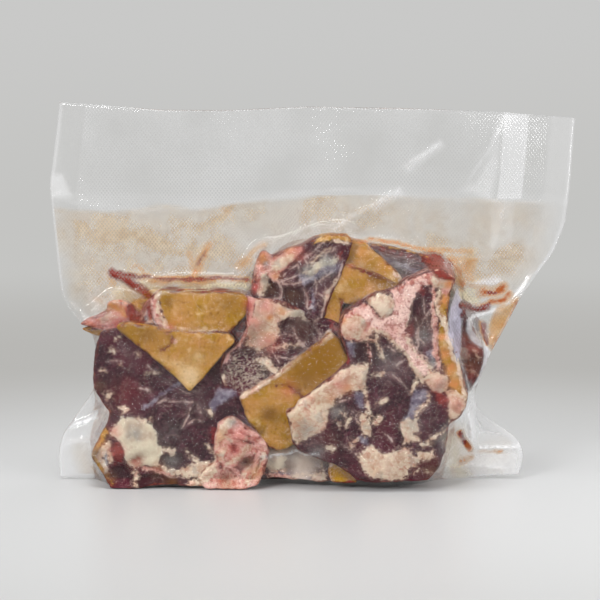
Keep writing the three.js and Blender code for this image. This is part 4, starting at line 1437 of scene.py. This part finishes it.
def castField(bodies, side, x, z):
    # how far the meat reaches from the middle plane at each place, or nothing
    depsgraph = bpy.context.evaluated_depsgraph_get()
    reach = np.zeros(len(x))
    for body in bodies:
        tree = BVHTree.FromObject(body, depsgraph)
        corners = np.array(body.bound_box) / mm
        low, high = corners.min(axis=0), corners.max(axis=0)
        near = np.nonzero((x > low[0]) & (x < high[0]) & (z > low[2]) & (z < high[2]))[0]
        for i in near:
            hit = tree.ray_cast(Vector((x[i] * mm, side * 0.1, z[i] * mm)), Vector((0, -side, 0)))[0]
            if hit is not None:
                reach[i] = max(reach[i], side * (hit.y / mm - midPlane))
    return reach


def neighbourMean(field):
    near = np.pad(field, 1, mode="edge")
    return (near[:-2, 1:-1] + near[2:, 1:-1] + near[1:-1, :-2] + near[1:-1, 2:]) / 4


def spreadOut(field, times):
    for _ in range(times):
        field = neighbourMean(field)
    return field


def blockPeaks(field, step):
    rows, columns = (size // step for size in field.shape)
    return field[: rows * step, : columns * step].reshape(rows, step, columns, step).max(axis=(1, 3))


def pouchField(bodies, side):
    # distance of the film from the middle plane on a 1 mm grid, drawn in by the vacuum from coarse to fine
    xs, zs = np.arange(*film["settledX"], 1.0), np.arange(*film["settledZ"], 1.0)
    gridX, gridZ = np.meshgrid(xs, zs)
    reach = castField(bodies, side, gridX.ravel(), gridZ.ravel()).reshape(gridX.shape)
    held = np.where(reach > 0, reach + film["clearance"], film["half"])
    inPouch = (gridX > easedCurve(leftEdge, gridZ) + 0.5) & (gridX < easedCurve(rightEdge, gridZ) - 0.5)
    face = held
    for step in (4, 2, 1):
        least = blockPeaks(held, step)
        inside = inPouch[::step, ::step][: least.shape[0], : least.shape[1]]
        coarse = np.maximum(blockPeaks(face, step), least)
        for _ in range(film["settleFine"] if step == 1 else film["settleCoarse"]):
            drawnIn = np.maximum(least, neighbourMean(coarse) - film["suction"] * step * step)
            coarse = np.where(inside, drawnIn, film["half"])
        face = np.repeat(np.repeat(coarse, step, axis=0), step, axis=1)
        face = np.pad(face, [(0, whole - part) for whole, part in zip(held.shape, face.shape)], mode="edge")
        if step > 1:
            face = spreadOut(face, step)
    return xs, zs, face, reach


def sample(xs, zs, field, x, z):
    column = np.clip((x - xs[0]) / (xs[1] - xs[0]), 0, len(xs) - 1.001)
    row = np.clip((z - zs[0]) / (zs[1] - zs[0]), 0, len(zs) - 1.001)
    c, r = column.astype(int), row.astype(int)
    u, v = column - c, row - r
    low = field[r, c] * (1 - u) + field[r, c + 1] * u
    high = field[r + 1, c] * (1 - u) + field[r + 1, c + 1] * u
    return low * (1 - v) + high * v


def pouchGrid():
    # the places of the film's points, from the lower left corner, row by row
    rows = film["rowsMeat"] + film["rowsHeader"]
    left, middle, right = film["columns"]
    level = np.concatenate([
        np.linspace(0, film["meatTop"], film["rowsMeat"], endpoint=False),
        np.linspace(film["meatTop"], film["headerTop"], film["rowsHeader"] + 1),
    ])
    places = []
    for z, low, high in zip(level, easedCurve(leftEdge, level), easedCurve(rightEdge, level)):
        x = np.concatenate([
            np.linspace(low, film["meatLeft"], left, endpoint=False),
            np.linspace(film["meatLeft"], film["meatRight"], middle, endpoint=False),
            np.linspace(film["meatRight"], high, right + 1),
        ])
        bottom, share = bottomAt(x), z / film["headerTop"]
        places.append(np.stack([x, bottom + (easedCurve(topEdge, x) - bottom) * share], axis=1))
    return rows, left + middle + right, np.concatenate(places)


def foldRise(folds, points, shown):
    # how far the folds lift the film, and how strong the painted highlights along their ridges are
    rise, ridgeGlint = np.zeros(len(points)), np.zeros(len(points))
    for path, height, width, glintStrength in folds:
        line = seenAt(path, foldDepth) if shown else paired(path)
        gap = distanceToPath(points, line)
        ends = [np.linalg.norm(points - np.array(end), axis=1) for end in (line[0], line[-1])]
        fade = smoothStep(0, 5, np.minimum(*ends))
        rise = np.maximum(rise, height * np.exp(-(gap / width) ** 1.5) * (0.35 + 0.65 * fade))
        ridgeGlint = np.maximum(ridgeGlint, glintStrength * np.exp(-(gap / 0.9) ** 2) * (0.3 + 0.7 * fade))
    return rise, ridgeGlint


def crumples(points, seed):
    # sharp little creases: the ridges of a stretched noise
    first = 1 - np.abs(softNoise(points * np.array([1.0, 1.0, 0.45]), film["crumpleSize"], seed))
    second = 1 - np.abs(softNoise(points * np.array([0.5, 1.0, 1.0]), film["crumpleSize"] * 0.8, seed + 1))
    return first ** film["crumplePower"] + 0.8 * second ** film["crumplePower"]


rows, columns, places = pouchGrid()


def filmSide(bodies, side, folds):
    # the film's distance from the middle plane, where it clings to the meat and where folds carry a painted
    # highlight
    xs, zs, field, reach = pouchField(bodies, side)
    x, z = places[:, 0], places[:, 1]
    held = castField(bodies, side, x, z)
    distance = sample(xs, zs, field, x, z)
    touching = smoothStep(2.2, 0.6, distance - np.maximum(held, 0))
    touching = np.where(held > 0, touching, 0)
    onMeat = sample(xs, zs, spreadOut((reach > 0).astype(float), film["nearSteps"]), x, z)
    nearMeat = smoothStep(0.0, 0.5, onMeat) * (1 - touching)
    rise, ridgeGlint = foldRise(folds, places, side < 0)
    distance = distance + rise * (1 - 0.7 * touching)
    spots = np.stack([x, np.full(len(x), side * 40.0), z], axis=1)
    creased = film["crumpledOnMeat"] * touching + nearMeat
    distance = distance + film["crumple"] * crumples(spots, film["crumpleSeeds"][side > 0]) * creased
    distance = np.maximum(distance, np.where(held > 0, held + film["least"], 0))
    grid = distance.reshape(rows + 1, columns + 1)
    # front and back come together at the rim, in two steps
    fromTop = np.minimum(np.arange(rows + 1), rows - np.arange(rows + 1))[:, None]
    fromSide = np.minimum(np.arange(columns + 1), columns - np.arange(columns + 1))[None, :]
    close = np.minimum(fromTop, fromSide)
    close[: film["rowsMeat"], :] = fromSide
    grid = np.where(close == 0, film["rim"], np.where(close == 1, np.minimum(grid, film["half"] + 1.0), grid))
    foot = 1 - film["footPinch"] * (1 - np.clip(z / film["footHeight"], 0, 1)) ** 2
    return grid.ravel() * np.where(grid.ravel() > film["pinchFrom"], foot, 1), touching, ridgeGlint


sides = filmSide(shownBodies, -1, shownFolds), filmSide(hiddenBodies, 1, hiddenFolds)
filmDistance, filmTouch, filmGlint = (np.concatenate(pair) for pair in zip(*sides))
filmX, filmZ = np.tile(places[:, 0], 2), np.tile(places[:, 1], 2)
print("film settled on the meat")


def makeFilm():
    # two nets in the pouch's plane, moved out to front and back, with their rims bridged
    pouch = bmesh.new()
    for _ in range(2):
        bmesh.ops.create_grid(pouch, x_segments=columns, y_segments=rows, size=1)
    away = np.repeat((-1, 1), len(places)) * filmDistance
    placePoints(pouch, filmX, middlePlane(filmX, filmZ) + away, filmZ)
    bmesh.ops.bridge_loops(pouch, edges=[e for e in pouch.edges if e.is_boundary])
    bmesh.ops.recalc_face_normals(pouch, faces=pouch.faces)
    return bodyOf("clearFilm", pouch)


clearFilm = makeFilm()
setAttribute(clearFilm.data, "touch", filmTouch)
setAttribute(clearFilm.data, "ridgeGlint", filmGlint)
print("film made:", len(clearFilm.data.polygons), "faces")

# where the film is hazier or whiter: its seals and smooth margins, painted in mm on the pouch
filmMarks = {
    "seal": [[-145, 150, -60, 148, 40, 153.5, 145, 147, 145, 152, 40, 158.5, -60, 153, -145, 155]],
    "band": [[102, 210, 99.5, 165, 98, 151, 111, 151, 112.5, 165, 116, 210]],
    "flap": [
        [76, -5, 73, 20, 80, 34, 88, 40, 100, 30, 125, 30, 125, -5],
        [-112, -5, -114, 20, -112, 44, -125, 44, -145, 30, -145, -5],
    ],
}
edgeGap = np.minimum(filmX - easedCurve(leftEdge, filmZ), easedCurve(rightEdge, filmZ) - filmX)
setAttribute(clearFilm.data, "margin", np.clip(edgeGap, 0, 30))
for mark, outlines in filmMarks.items():
    inMark = [insideBy(np.stack([filmX, filmZ], axis=1), paired(outline)) for outline in outlines]
    setAttribute(clearFilm.data, mark, np.maximum(np.max(inMark, axis=0), -9.0))
# milky film and painted reflections and glints of the lamps on the shown film: outline in pixels of the
# photo, softness in mm, strength
hazeAndGlarePlaces = [
    ([449, 304, 456, 301, 457, 318, 449, 322], 1.5, 0.85),
    ([535, 271, 524, 291, 512, 303, 500, 311, 486, 316, 473, 319, 472, 328, 476, 335, 483, 341, 485, 348, 480,
     347, 470, 340, 465, 330, 466, 319, 473, 315, 487, 312, 500, 307, 510, 299, 520, 288], 0.9, 0.38),
    ([484, 334, 489, 347, 488, 362, 482, 374, 479, 384, 470, 392, 472, 386, 478, 374, 483, 360, 483, 346],
     0.8, 0.6),
    ([84, 488, 120, 487, 210, 487, 262, 484, 300, 483, 355, 485, 440, 484, 445, 492, 350, 497, 84, 496], 1.2,
     0.6),
    ([500, 124, 493, 150, 478, 180, 464, 190, 492, 200, 499, 165], 2.5, 0.2),
    ([466, 386, 476, 398, 478, 446, 466, 430, 466, 400], 1.5, 0.35),
    ([50, 174, 60, 174, 70, 197, 50, 197], 2, 0.25), ([493, 200, 516, 202, 513, 250, 491, 250], 0.8, 0.1),
    ([48, 110, 60, 110, 62, 300, 50, 300], 3, 0.05),
    ([166, 286, 190, 282, 250, 279, 245, 290, 165, 291], 1, 0.08),
    ([452, 456, 520, 452, 522, 478, 446, 484], 3, 0.2), ([404, 168, 440, 140, 444, 146, 410, 172], 2, 0.2),
    ([372, 206, 400, 188, 404, 194, 376, 212], 2, 0.25), ([478, 446, 520, 450, 522, 478, 480, 486], 4, 0.1),
]
# where it reflects a pale lilac
lilacPlaces = [
    ([456, 288, 463, 289, 462, 300, 461, 320, 458, 347, 453, 358, 449, 342, 444, 330, 446, 308], 1, 0.65),
    ([475, 283, 497, 276, 506, 283, 500, 287, 480, 288], 1.2, 0.25),
    ([484, 345, 489, 350, 488, 362, 482, 374, 478, 382, 483, 360], 1, 0.3),
    ([540, 222, 549, 226, 530, 262, 508, 290, 504, 286, 524, 258], 3, 0.12),
]


def paintedPlaces(outlines):
    amount = np.zeros(len(places))
    for outline, softness, strength in outlines:
        edge = insideBy(places, seenAt(outline, foldDepth))
        amount = np.maximum(amount, strength * smoothStep(-softness, softness, edge))
    return amount


def onShownSide(values):
    # the film's front has the values and its back has none
    return np.concatenate([values, np.zeros(len(places))])


lilac = paintedPlaces(lilacPlaces)
setAttribute(clearFilm.data, "lilac", onShownSide(lilac))
# the smooth margin beside the embossed part is milky too, more so on the right
marginMilk = np.where(filmX > 0, 0.08, 0.02) * smoothStep(15, 12, edgeGap) * smoothStep(100, 112, filmZ)
hazeAndGlare = onShownSide(np.maximum(paintedPlaces(hazeAndGlarePlaces), lilac))
setAttribute(clearFilm.data, "hazeAndGlare", np.maximum(hazeAndGlare, marginMilk))

# juice and blood that dried on the film: path in pixels of the photo, width in px (0 fills the outline) and
# strength. Tan lies between the two films, the others on the inside of the front one.
stains = {
    "tan": [
        ([84, 226, 150, 236, 215, 250], 56, 0.68), ([72, 222, 80, 262], 18, 0.3),
        ([90, 262, 130, 268, 240, 266], 38, 0.6), ([215, 225, 300, 216, 380, 220], 50, 0.5),
        ([380, 222, 450, 226, 515, 226], 52, 0.36), ([180, 226, 200, 228, 224, 216, 232, 204], 12, 0.75),
        ([178, 232, 182, 256], 10, 0.75), ([112, 286, 132, 300], 34, 0.85),
        ([430, 250, 470, 262, 512, 258], 44, 0.62), ([455, 440, 460, 465, 500, 453], 26, 0.35),
        ([450, 470, 500, 470], 24, 0.2), ([84, 452, 92, 474], 18, 0.35), ([88, 288, 96, 302], 26, 0.5),
        ([248, 262, 262, 245], 18, 0.5), ([300, 205, 330, 197], 14, 0.55), ([340, 225, 400, 215], 22, 0.35),
        ([490, 205, 520, 240], 34, 0.35), ([496, 206, 514, 206, 512, 250, 494, 250], 0, 0.1),
        ([444, 245, 478, 246, 486, 262, 482, 284, 456, 286, 446, 270], 0, 0.8),
        ([521, 298, 513, 322, 493, 349, 486, 340, 490, 320, 504, 308], 0, 0.9),
    ],
    "cream": [
        ([460, 288, 478, 286, 484, 294, 482, 303, 470, 304, 463, 299], 0, 0.65),
        ([158, 291, 205, 281, 250, 279, 249, 289, 205, 288], 0, 0.45),
        ([130, 282, 160, 281, 195, 281], 6, 0.4), ([450, 430, 454, 455, 460, 478], 22, 0.3),
        ([140, 285, 151, 292, 160, 285], 9, 0.45), ([118, 292, 132, 302], 16, 0.3),
    ],
    "orange": [
        ([194, 277, 191, 266, 188, 255], 6, 0.3), ([194, 276, 199, 262, 207, 247], 7, 0.55),
        ([132, 269, 138, 267, 144, 273], 3, 0.4), ([112, 274, 150, 278, 200, 279, 250, 278], 5, 0.7),
        ([240, 264, 250, 261], 9, 0.4), ([106, 274, 112, 284], 7, 0.4),
        ([134, 300, 148, 300, 142, 311, 128, 310], 0, 0.4), ([112, 304, 122, 308, 130, 312], 5, 0.6),
        ([148, 281, 172, 283], 3, 0.4), ([96, 300, 108, 308], 6, 0.2), ([222, 208, 230, 214], 6, 0.25),
        ([350, 239, 400, 243, 440, 254], 4, 0.7), ([250, 256, 262, 246], 6, 0.35),
        ([430, 249, 450, 250, 472, 252], 4, 0.45),
        ([446, 256, 466, 255, 478, 264, 476, 282, 458, 283, 448, 272], 0, 0.42),
        ([448, 258, 460, 272, 464, 284], 9, 0.7), ([456, 262, 476, 262], 5, 0.5),
        ([472, 286, 488, 287, 505, 287], 3, 0.5), ([484, 291, 493, 294, 504, 289], 9, 0.85),
        ([472, 307, 488, 306, 504, 302, 512, 295], 6, 0.8), ([519, 303, 511, 324, 494, 345], 9, 0.6),
        ([520, 300, 512, 322, 494, 346, 487, 338, 492, 318, 506, 306], 0, 0.4),
        ([506, 306, 496, 322, 490, 340], 7, 0.35), ([484, 324, 487, 342], 5, 0.6),
        ([459, 434, 462, 441, 470, 451], 5.5, 0.95), ([463, 461, 472, 459], 5, 0.55),
        ([478, 453, 497, 453], 2, 0.3), ([497, 453, 503, 454], 3, 0.6), ([454, 468, 456, 482], 3, 0.25),
        ([92, 466, 99, 480, 108, 488], 2.5, 0.4),
    ],
    "red": [
        ([110, 273, 122, 279, 134, 286, 148, 294], 7, 1), ([108, 272, 134, 277], 4, 0.9),
        ([134, 277, 165, 279, 250, 278], 2.2, 0.55), ([170, 287, 205, 289, 240, 291], 1.8, 0.5),
        ([462, 304, 470, 306, 480, 309, 489, 309], 5, 0.9), ([486, 325, 486, 342], 3, 0.6),
        ([461, 314, 467, 306], 3, 0.6), ([460, 436, 464, 445], 3, 0.7), ([490, 293, 497, 294], 3, 0.4),
        ([420, 254, 440, 255, 450, 263, 452, 276, 434, 274, 426, 265], 0, 1),
        ([131, 308, 136, 314, 143, 317], 6, 0.7), ([141, 313, 147, 304, 156, 293], 3, 0.5),
        ([149, 305, 153, 312], 6, 0.4), ([196, 266, 204, 252], 2, 0.25), ([256, 258, 264, 248], 2.5, 0.4),
        ([370, 247, 404, 255, 424, 262], 2, 0.4),
    ],
}


def stainAmount(strokes, x, z, depth):
    # how strongly the strokes cover each place, with edges that wander a little
    spots = np.stack([x, z * 0, z], axis=1)
    points = np.stack([x, z], axis=1)
    for size, amount, seed in ((8, 1.2, 81), (2.5, 0.4, 83)):
        points = points + amount * wander(spots, size, seed)
    value = np.zeros(len(x))
    for path, width, strength in strokes:
        line = seenAt(path, depth)
        if width:
            half = width * pixelAt(photo["distance"]) * 0.75
            cover = 1 - smoothStep(0.0, 1.4, distanceToPath(points, line) / half)
        else:
            cover = smoothStep(-2.0, 2.0, insideBy(points, line))
        value = np.maximum(value, strength * cover)
    return value


for stain in ("cream", "orange", "red"):
    amount = stainAmount(stains[stain], places[:, 0], places[:, 1], stainDepth)
    setAttribute(clearFilm.data, stain, onShownSide(amount))


def diamondLines(where):
    # the film's embossed net: two sets of slanted waves, whose product has a dot in each diamond
    wave = math.pi / (film["netSpacing"] * mm)
    first, second = (
        calc("SINE", made("SeparateXYZ", {"Vector": stretched(where, lean)}, "X") * wave)
        for lean in (film["netLean"], -film["netLean"]))
    return calc("ABSOLUTE", first * second)


def filmMaterial():
    material = newMaterial("clearFilmSurface")
    where = made("TexCoord", output="Object")
    touch, margin = attributeOf("touch"), attributeOf("margin")
    clouds = noiseOf(where, 26)
    specks = noiseOf(where, 700, 2, 0.6)
    loose = 1.0 - touch
    inFlap = ramp(attributeOf("flap"), -4, 4)
    embossed = ramp(margin, 13, 15) * loose * (1.0 - inFlap * 0.8)
    net = ramp(diamondLines(where), 0.15, 0.85) * embossed
    broken = 0.35 + ramp(noiseOf(where, 420, 3, 0.6), 0.35, 0.6) * 0.65
    haze = clamped(
        ramp(clouds, 0.5, 0.8) * 0.02 * loose
        + net * (ramp(clouds, 0.25, 0.65) * 0.16)
        + ramp(attributeOf("seal"), -0.5, 0.6) * 0.02
        + ramp(attributeOf("band"), -0.4, 0.5) * 0.17
        + inFlap * (0.05 + clouds * 0.12)
        # painted highlights along the fold ridges
        + attributeOf("ridgeGlint") * broken * 0.7
        # milky film, and painted reflections and glints of the lamps
        + attributeOf("hazeAndGlare") * (0.75 + broken * 0.3)
        + ramp(margin, 2.4, 0.3) * 0.1)
    # what dried on it is patchy, covers the haze and shows the film's net
    patchy = (0.65 + ramp(noiseOf(where, 260, 4, 0.6), 0.36, 0.62) * 0.45) * (1.05 - net * 0.3)
    cream, orange, red = (clamped(attributeOf(name) * patchy) for name in ("cream", "orange", "red"))
    bloody = larger(orange, red)
    haze = larger(haze, clamped(larger(cream, bloody * 1.15)))
    tint = (0.92, 0.92, 0.94, 1)
    for value, low, high, colour in (
        (attributeOf("lilac"), 0.05, 0.6, (206, 202, 222)),
        (cream, 0.0, 0.3, (226, 212, 176)),
        (orange, 0.0, 0.25, (206, 154, 92)),
        (orange, 0.25, 0.85, (160, 80, 24)),
        (red, 0.0, 0.3, (118, 28, 12)),
    ):
        tint = blendColour(ramp(value, low, high), tint, linear(*colour))
    # fine wrinkles: sharp where the film clings, soft waves where it is loose
    creases = 1.0 - calc("ABSOLUTE", (noiseOf(where, 330, 4, 0.6, 1.2) - 0.5) * 5.0)
    normal = bumped(net * 0.14 + specks * (0.1 + touch * 0.2) + creases * touch * 0.9, 0.7, 0.45)
    cloudy = made("BsdfPrincipled", {
        "Base Color": tint, "Roughness": 0.35, "Specular IOR Level": 0.3, "Normal": normal})
    gloss = made("BsdfGlossy", {"Color": (1, 1, 1, 1), "Roughness": 0.1, "Normal": normal})
    hazed = mixShaders(haze, made("BsdfTransparent"), cloudy)
    fresnel = made("Fresnel", {"IOR": 1.5, "Normal": normal})
    showSurface(mixShaders(clamped(fresnel * (0.6 - bloody * 0.55)), hazed, gloss))
    return material


smoothShaded(clearFilm, filmMaterial())

# juice

# how high the juice was drawn, in pixels of the photo
juiceLimit = [
    50, 205, 65, 208, 105, 211, 140, 208, 158, 202, 190, 207, 215, 206, 240, 202, 290, 198, 360, 193, 390,
    195, 440, 197, 490, 198, 550, 201,
]
juiceSheet = {"across": 340, "up": 220, "bottom": 3, "top": 153, "inset": 1.5}


def juiceMaterial():
    # a thin dried wash with paler puddles, a darker line round some of them, and the film's net printed in it
    material = newMaterial("juiceSurface")
    where = made("TexCoord", output="Object")
    puddles = noiseOf(where, 58, 4, 0.6, 0.4)
    net = ramp(diamondLines(where), 0.1, 0.8)
    tan = attributeOf("tan") * (1.05 - net * 0.3)
    thick = tan * (0.55 + ramp(puddles, 0.4, 0.58) * 0.45)
    edge = tan * (ramp(calc("ABSOLUTE", puddles - 0.42), 0.035, 0.0) * 0.3) * 0.8
    colour = blendColour(ramp(noiseOf(where, 240), 0.36, 0.66), linear(200, 164, 108), linear(220, 194, 152))
    colour = blendColour(edge, colour, linear(200, 148, 100))
    wet = made("BsdfPrincipled", {"Base Color": colour, "Roughness": 0.5, "Specular IOR Level": 0.1})
    both = mixShaders(0.35, wet, made("BsdfTranslucent", {"Color": colour}))
    showSurface(mixShaders(clamped(larger(thick, edge)), made("BsdfTransparent"), both))
    return material


def makeJuice():
    # a thin sheet in the middle of the pouch, out to a little inside its edges
    across, up, inset = juiceSheet["across"], juiceSheet["up"], juiceSheet["inset"]
    sheet = bmesh.new()
    bmesh.ops.create_grid(sheet, x_segments=across, y_segments=up, size=1)
    level = np.linspace(juiceSheet["bottom"], juiceSheet["top"], up + 1)
    share = np.linspace(0, 1, across + 1)
    left, right = easedCurve(leftEdge, level) + inset, easedCurve(rightEdge, level) - inset
    x = (left[:, None] + (right - left)[:, None] * share[None, :]).ravel()
    z = np.repeat(level, across + 1)
    placePoints(sheet, x, middlePlane(x, z), z)
    body = bodyOf("juice", sheet)
    reached = np.array(seenAt(juiceLimit, midPlane))
    ragged = softNoise(np.stack([x, z * 0, z], axis=1), 12, 85)
    limit = smoothStep(-1.0, 2.0, np.interp(x, reached[:, 0], reached[:, 1]) + ragged - z)
    setAttribute(body.data, "tan", stainAmount(stains["tan"], x, z, midPlane) * limit)
    smoothShaded(body, juiceMaterial())
    return body


juice = makeJuice()
print("juice made")

# table, backdrop, light and camera

stage = {
    "tableRadius": 3.0,
    "table": (0.595, 0.60, 0.605, 1),
    "tableRoughness": 0.36,
    "fadeFrom": 0.08,  # m from the pack where the table begins to pass into the backdrop
    "fadeTo": 0.55,
    "backdropNear": linear(184, 183, 180),
    "backdropLow": linear(196, 196, 194),
    "backdropHigh": linear(201, 201, 200),
    "backdropFar": (0.6, 1.7),  # m from the pack between which the near backdrop turns into the low one
    "horizon": (-0.04, 0.09),
}
# name, place in m, size in m, power in W
softLights = (
    ("overhead", (-0.1, -0.25, 1.1), (0.6, 0.4), 5),
    ("frontLeft", (-0.75, -1.15, 0.7), (0.4, 0.4), 12),
    ("frontRight", (0.9, -0.9, 0.5), (0.4, 0.5), 5),
    ("backRight", (0.6, 0.8, 0.6), (0.6, 0.6), 2.5),
)


def makeTable():
    disc = bmesh.new()
    bmesh.ops.create_circle(disc, cap_ends=True, segments=96, radius=stage["tableRadius"])
    table = bodyOf("table", disc)
    material = newMaterial("tableSurface")
    shader = made("BsdfPrincipled", {"Base Color": stage["table"], "Roughness": stage["tableRoughness"]})
    length = made("VectorMath", {0: made("TexCoord", output="Object")}, "Value", operation="LENGTH")
    far = ramp(length, *stage["backdropFar"])
    glow = made("Emission", {"Color": blendColour(far, stage["backdropNear"], stage["backdropLow"])})
    showSurface(mixShaders(ramp(length, stage["fadeFrom"], stage["fadeTo"]), shader, glow))
    table.data.materials.append(material)
    return table


def aimed(name, data, place, direction):
    body = newObject(name, data)
    body.location = place
    body.rotation_mode = "QUATERNION"
    body.rotation_quaternion = direction.to_track_quat("-Z", "Y")
    return body


table = makeTable()

world = bpy.data.worlds.new("studio")
bpy.context.scene.world = world
world.use_nodes = True
building["tree"] = world.node_tree
upward = made("SeparateXYZ", {"Vector": made("TexCoord", output="Generated")}, "Z")
shade = blendColour(ramp(upward, *stage["horizon"]), stage["backdropLow"], stage["backdropHigh"])
feed(world.node_tree.nodes["Background"].inputs["Color"], shade)

for name, place, size, power in softLights:
    lamp = bpy.data.lights.new(name, "AREA")
    lamp.shape = "RECTANGLE"
    lamp.size, lamp.size_y = size
    lamp.energy = power
    aimed(name, lamp, place, Vector((0, 0, 0.1)) - Vector(place))

eye, forward, up = cameraAxes()
lens = bpy.data.cameras.new("camera")
lens.lens = photo["lens"]
lens.sensor_width = photo["sensor"]
lens.clip_start = 0.01
bpy.context.scene.camera = aimed("camera", lens, eye * mm, forward)
bpy.context.scene.view_settings.view_transform = "Standard"
print("stage ready")

for piece in [*shownBodies, *hiddenBodies, clearFilm, juice]:
    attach(piece, "root")
    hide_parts(pouchNode)
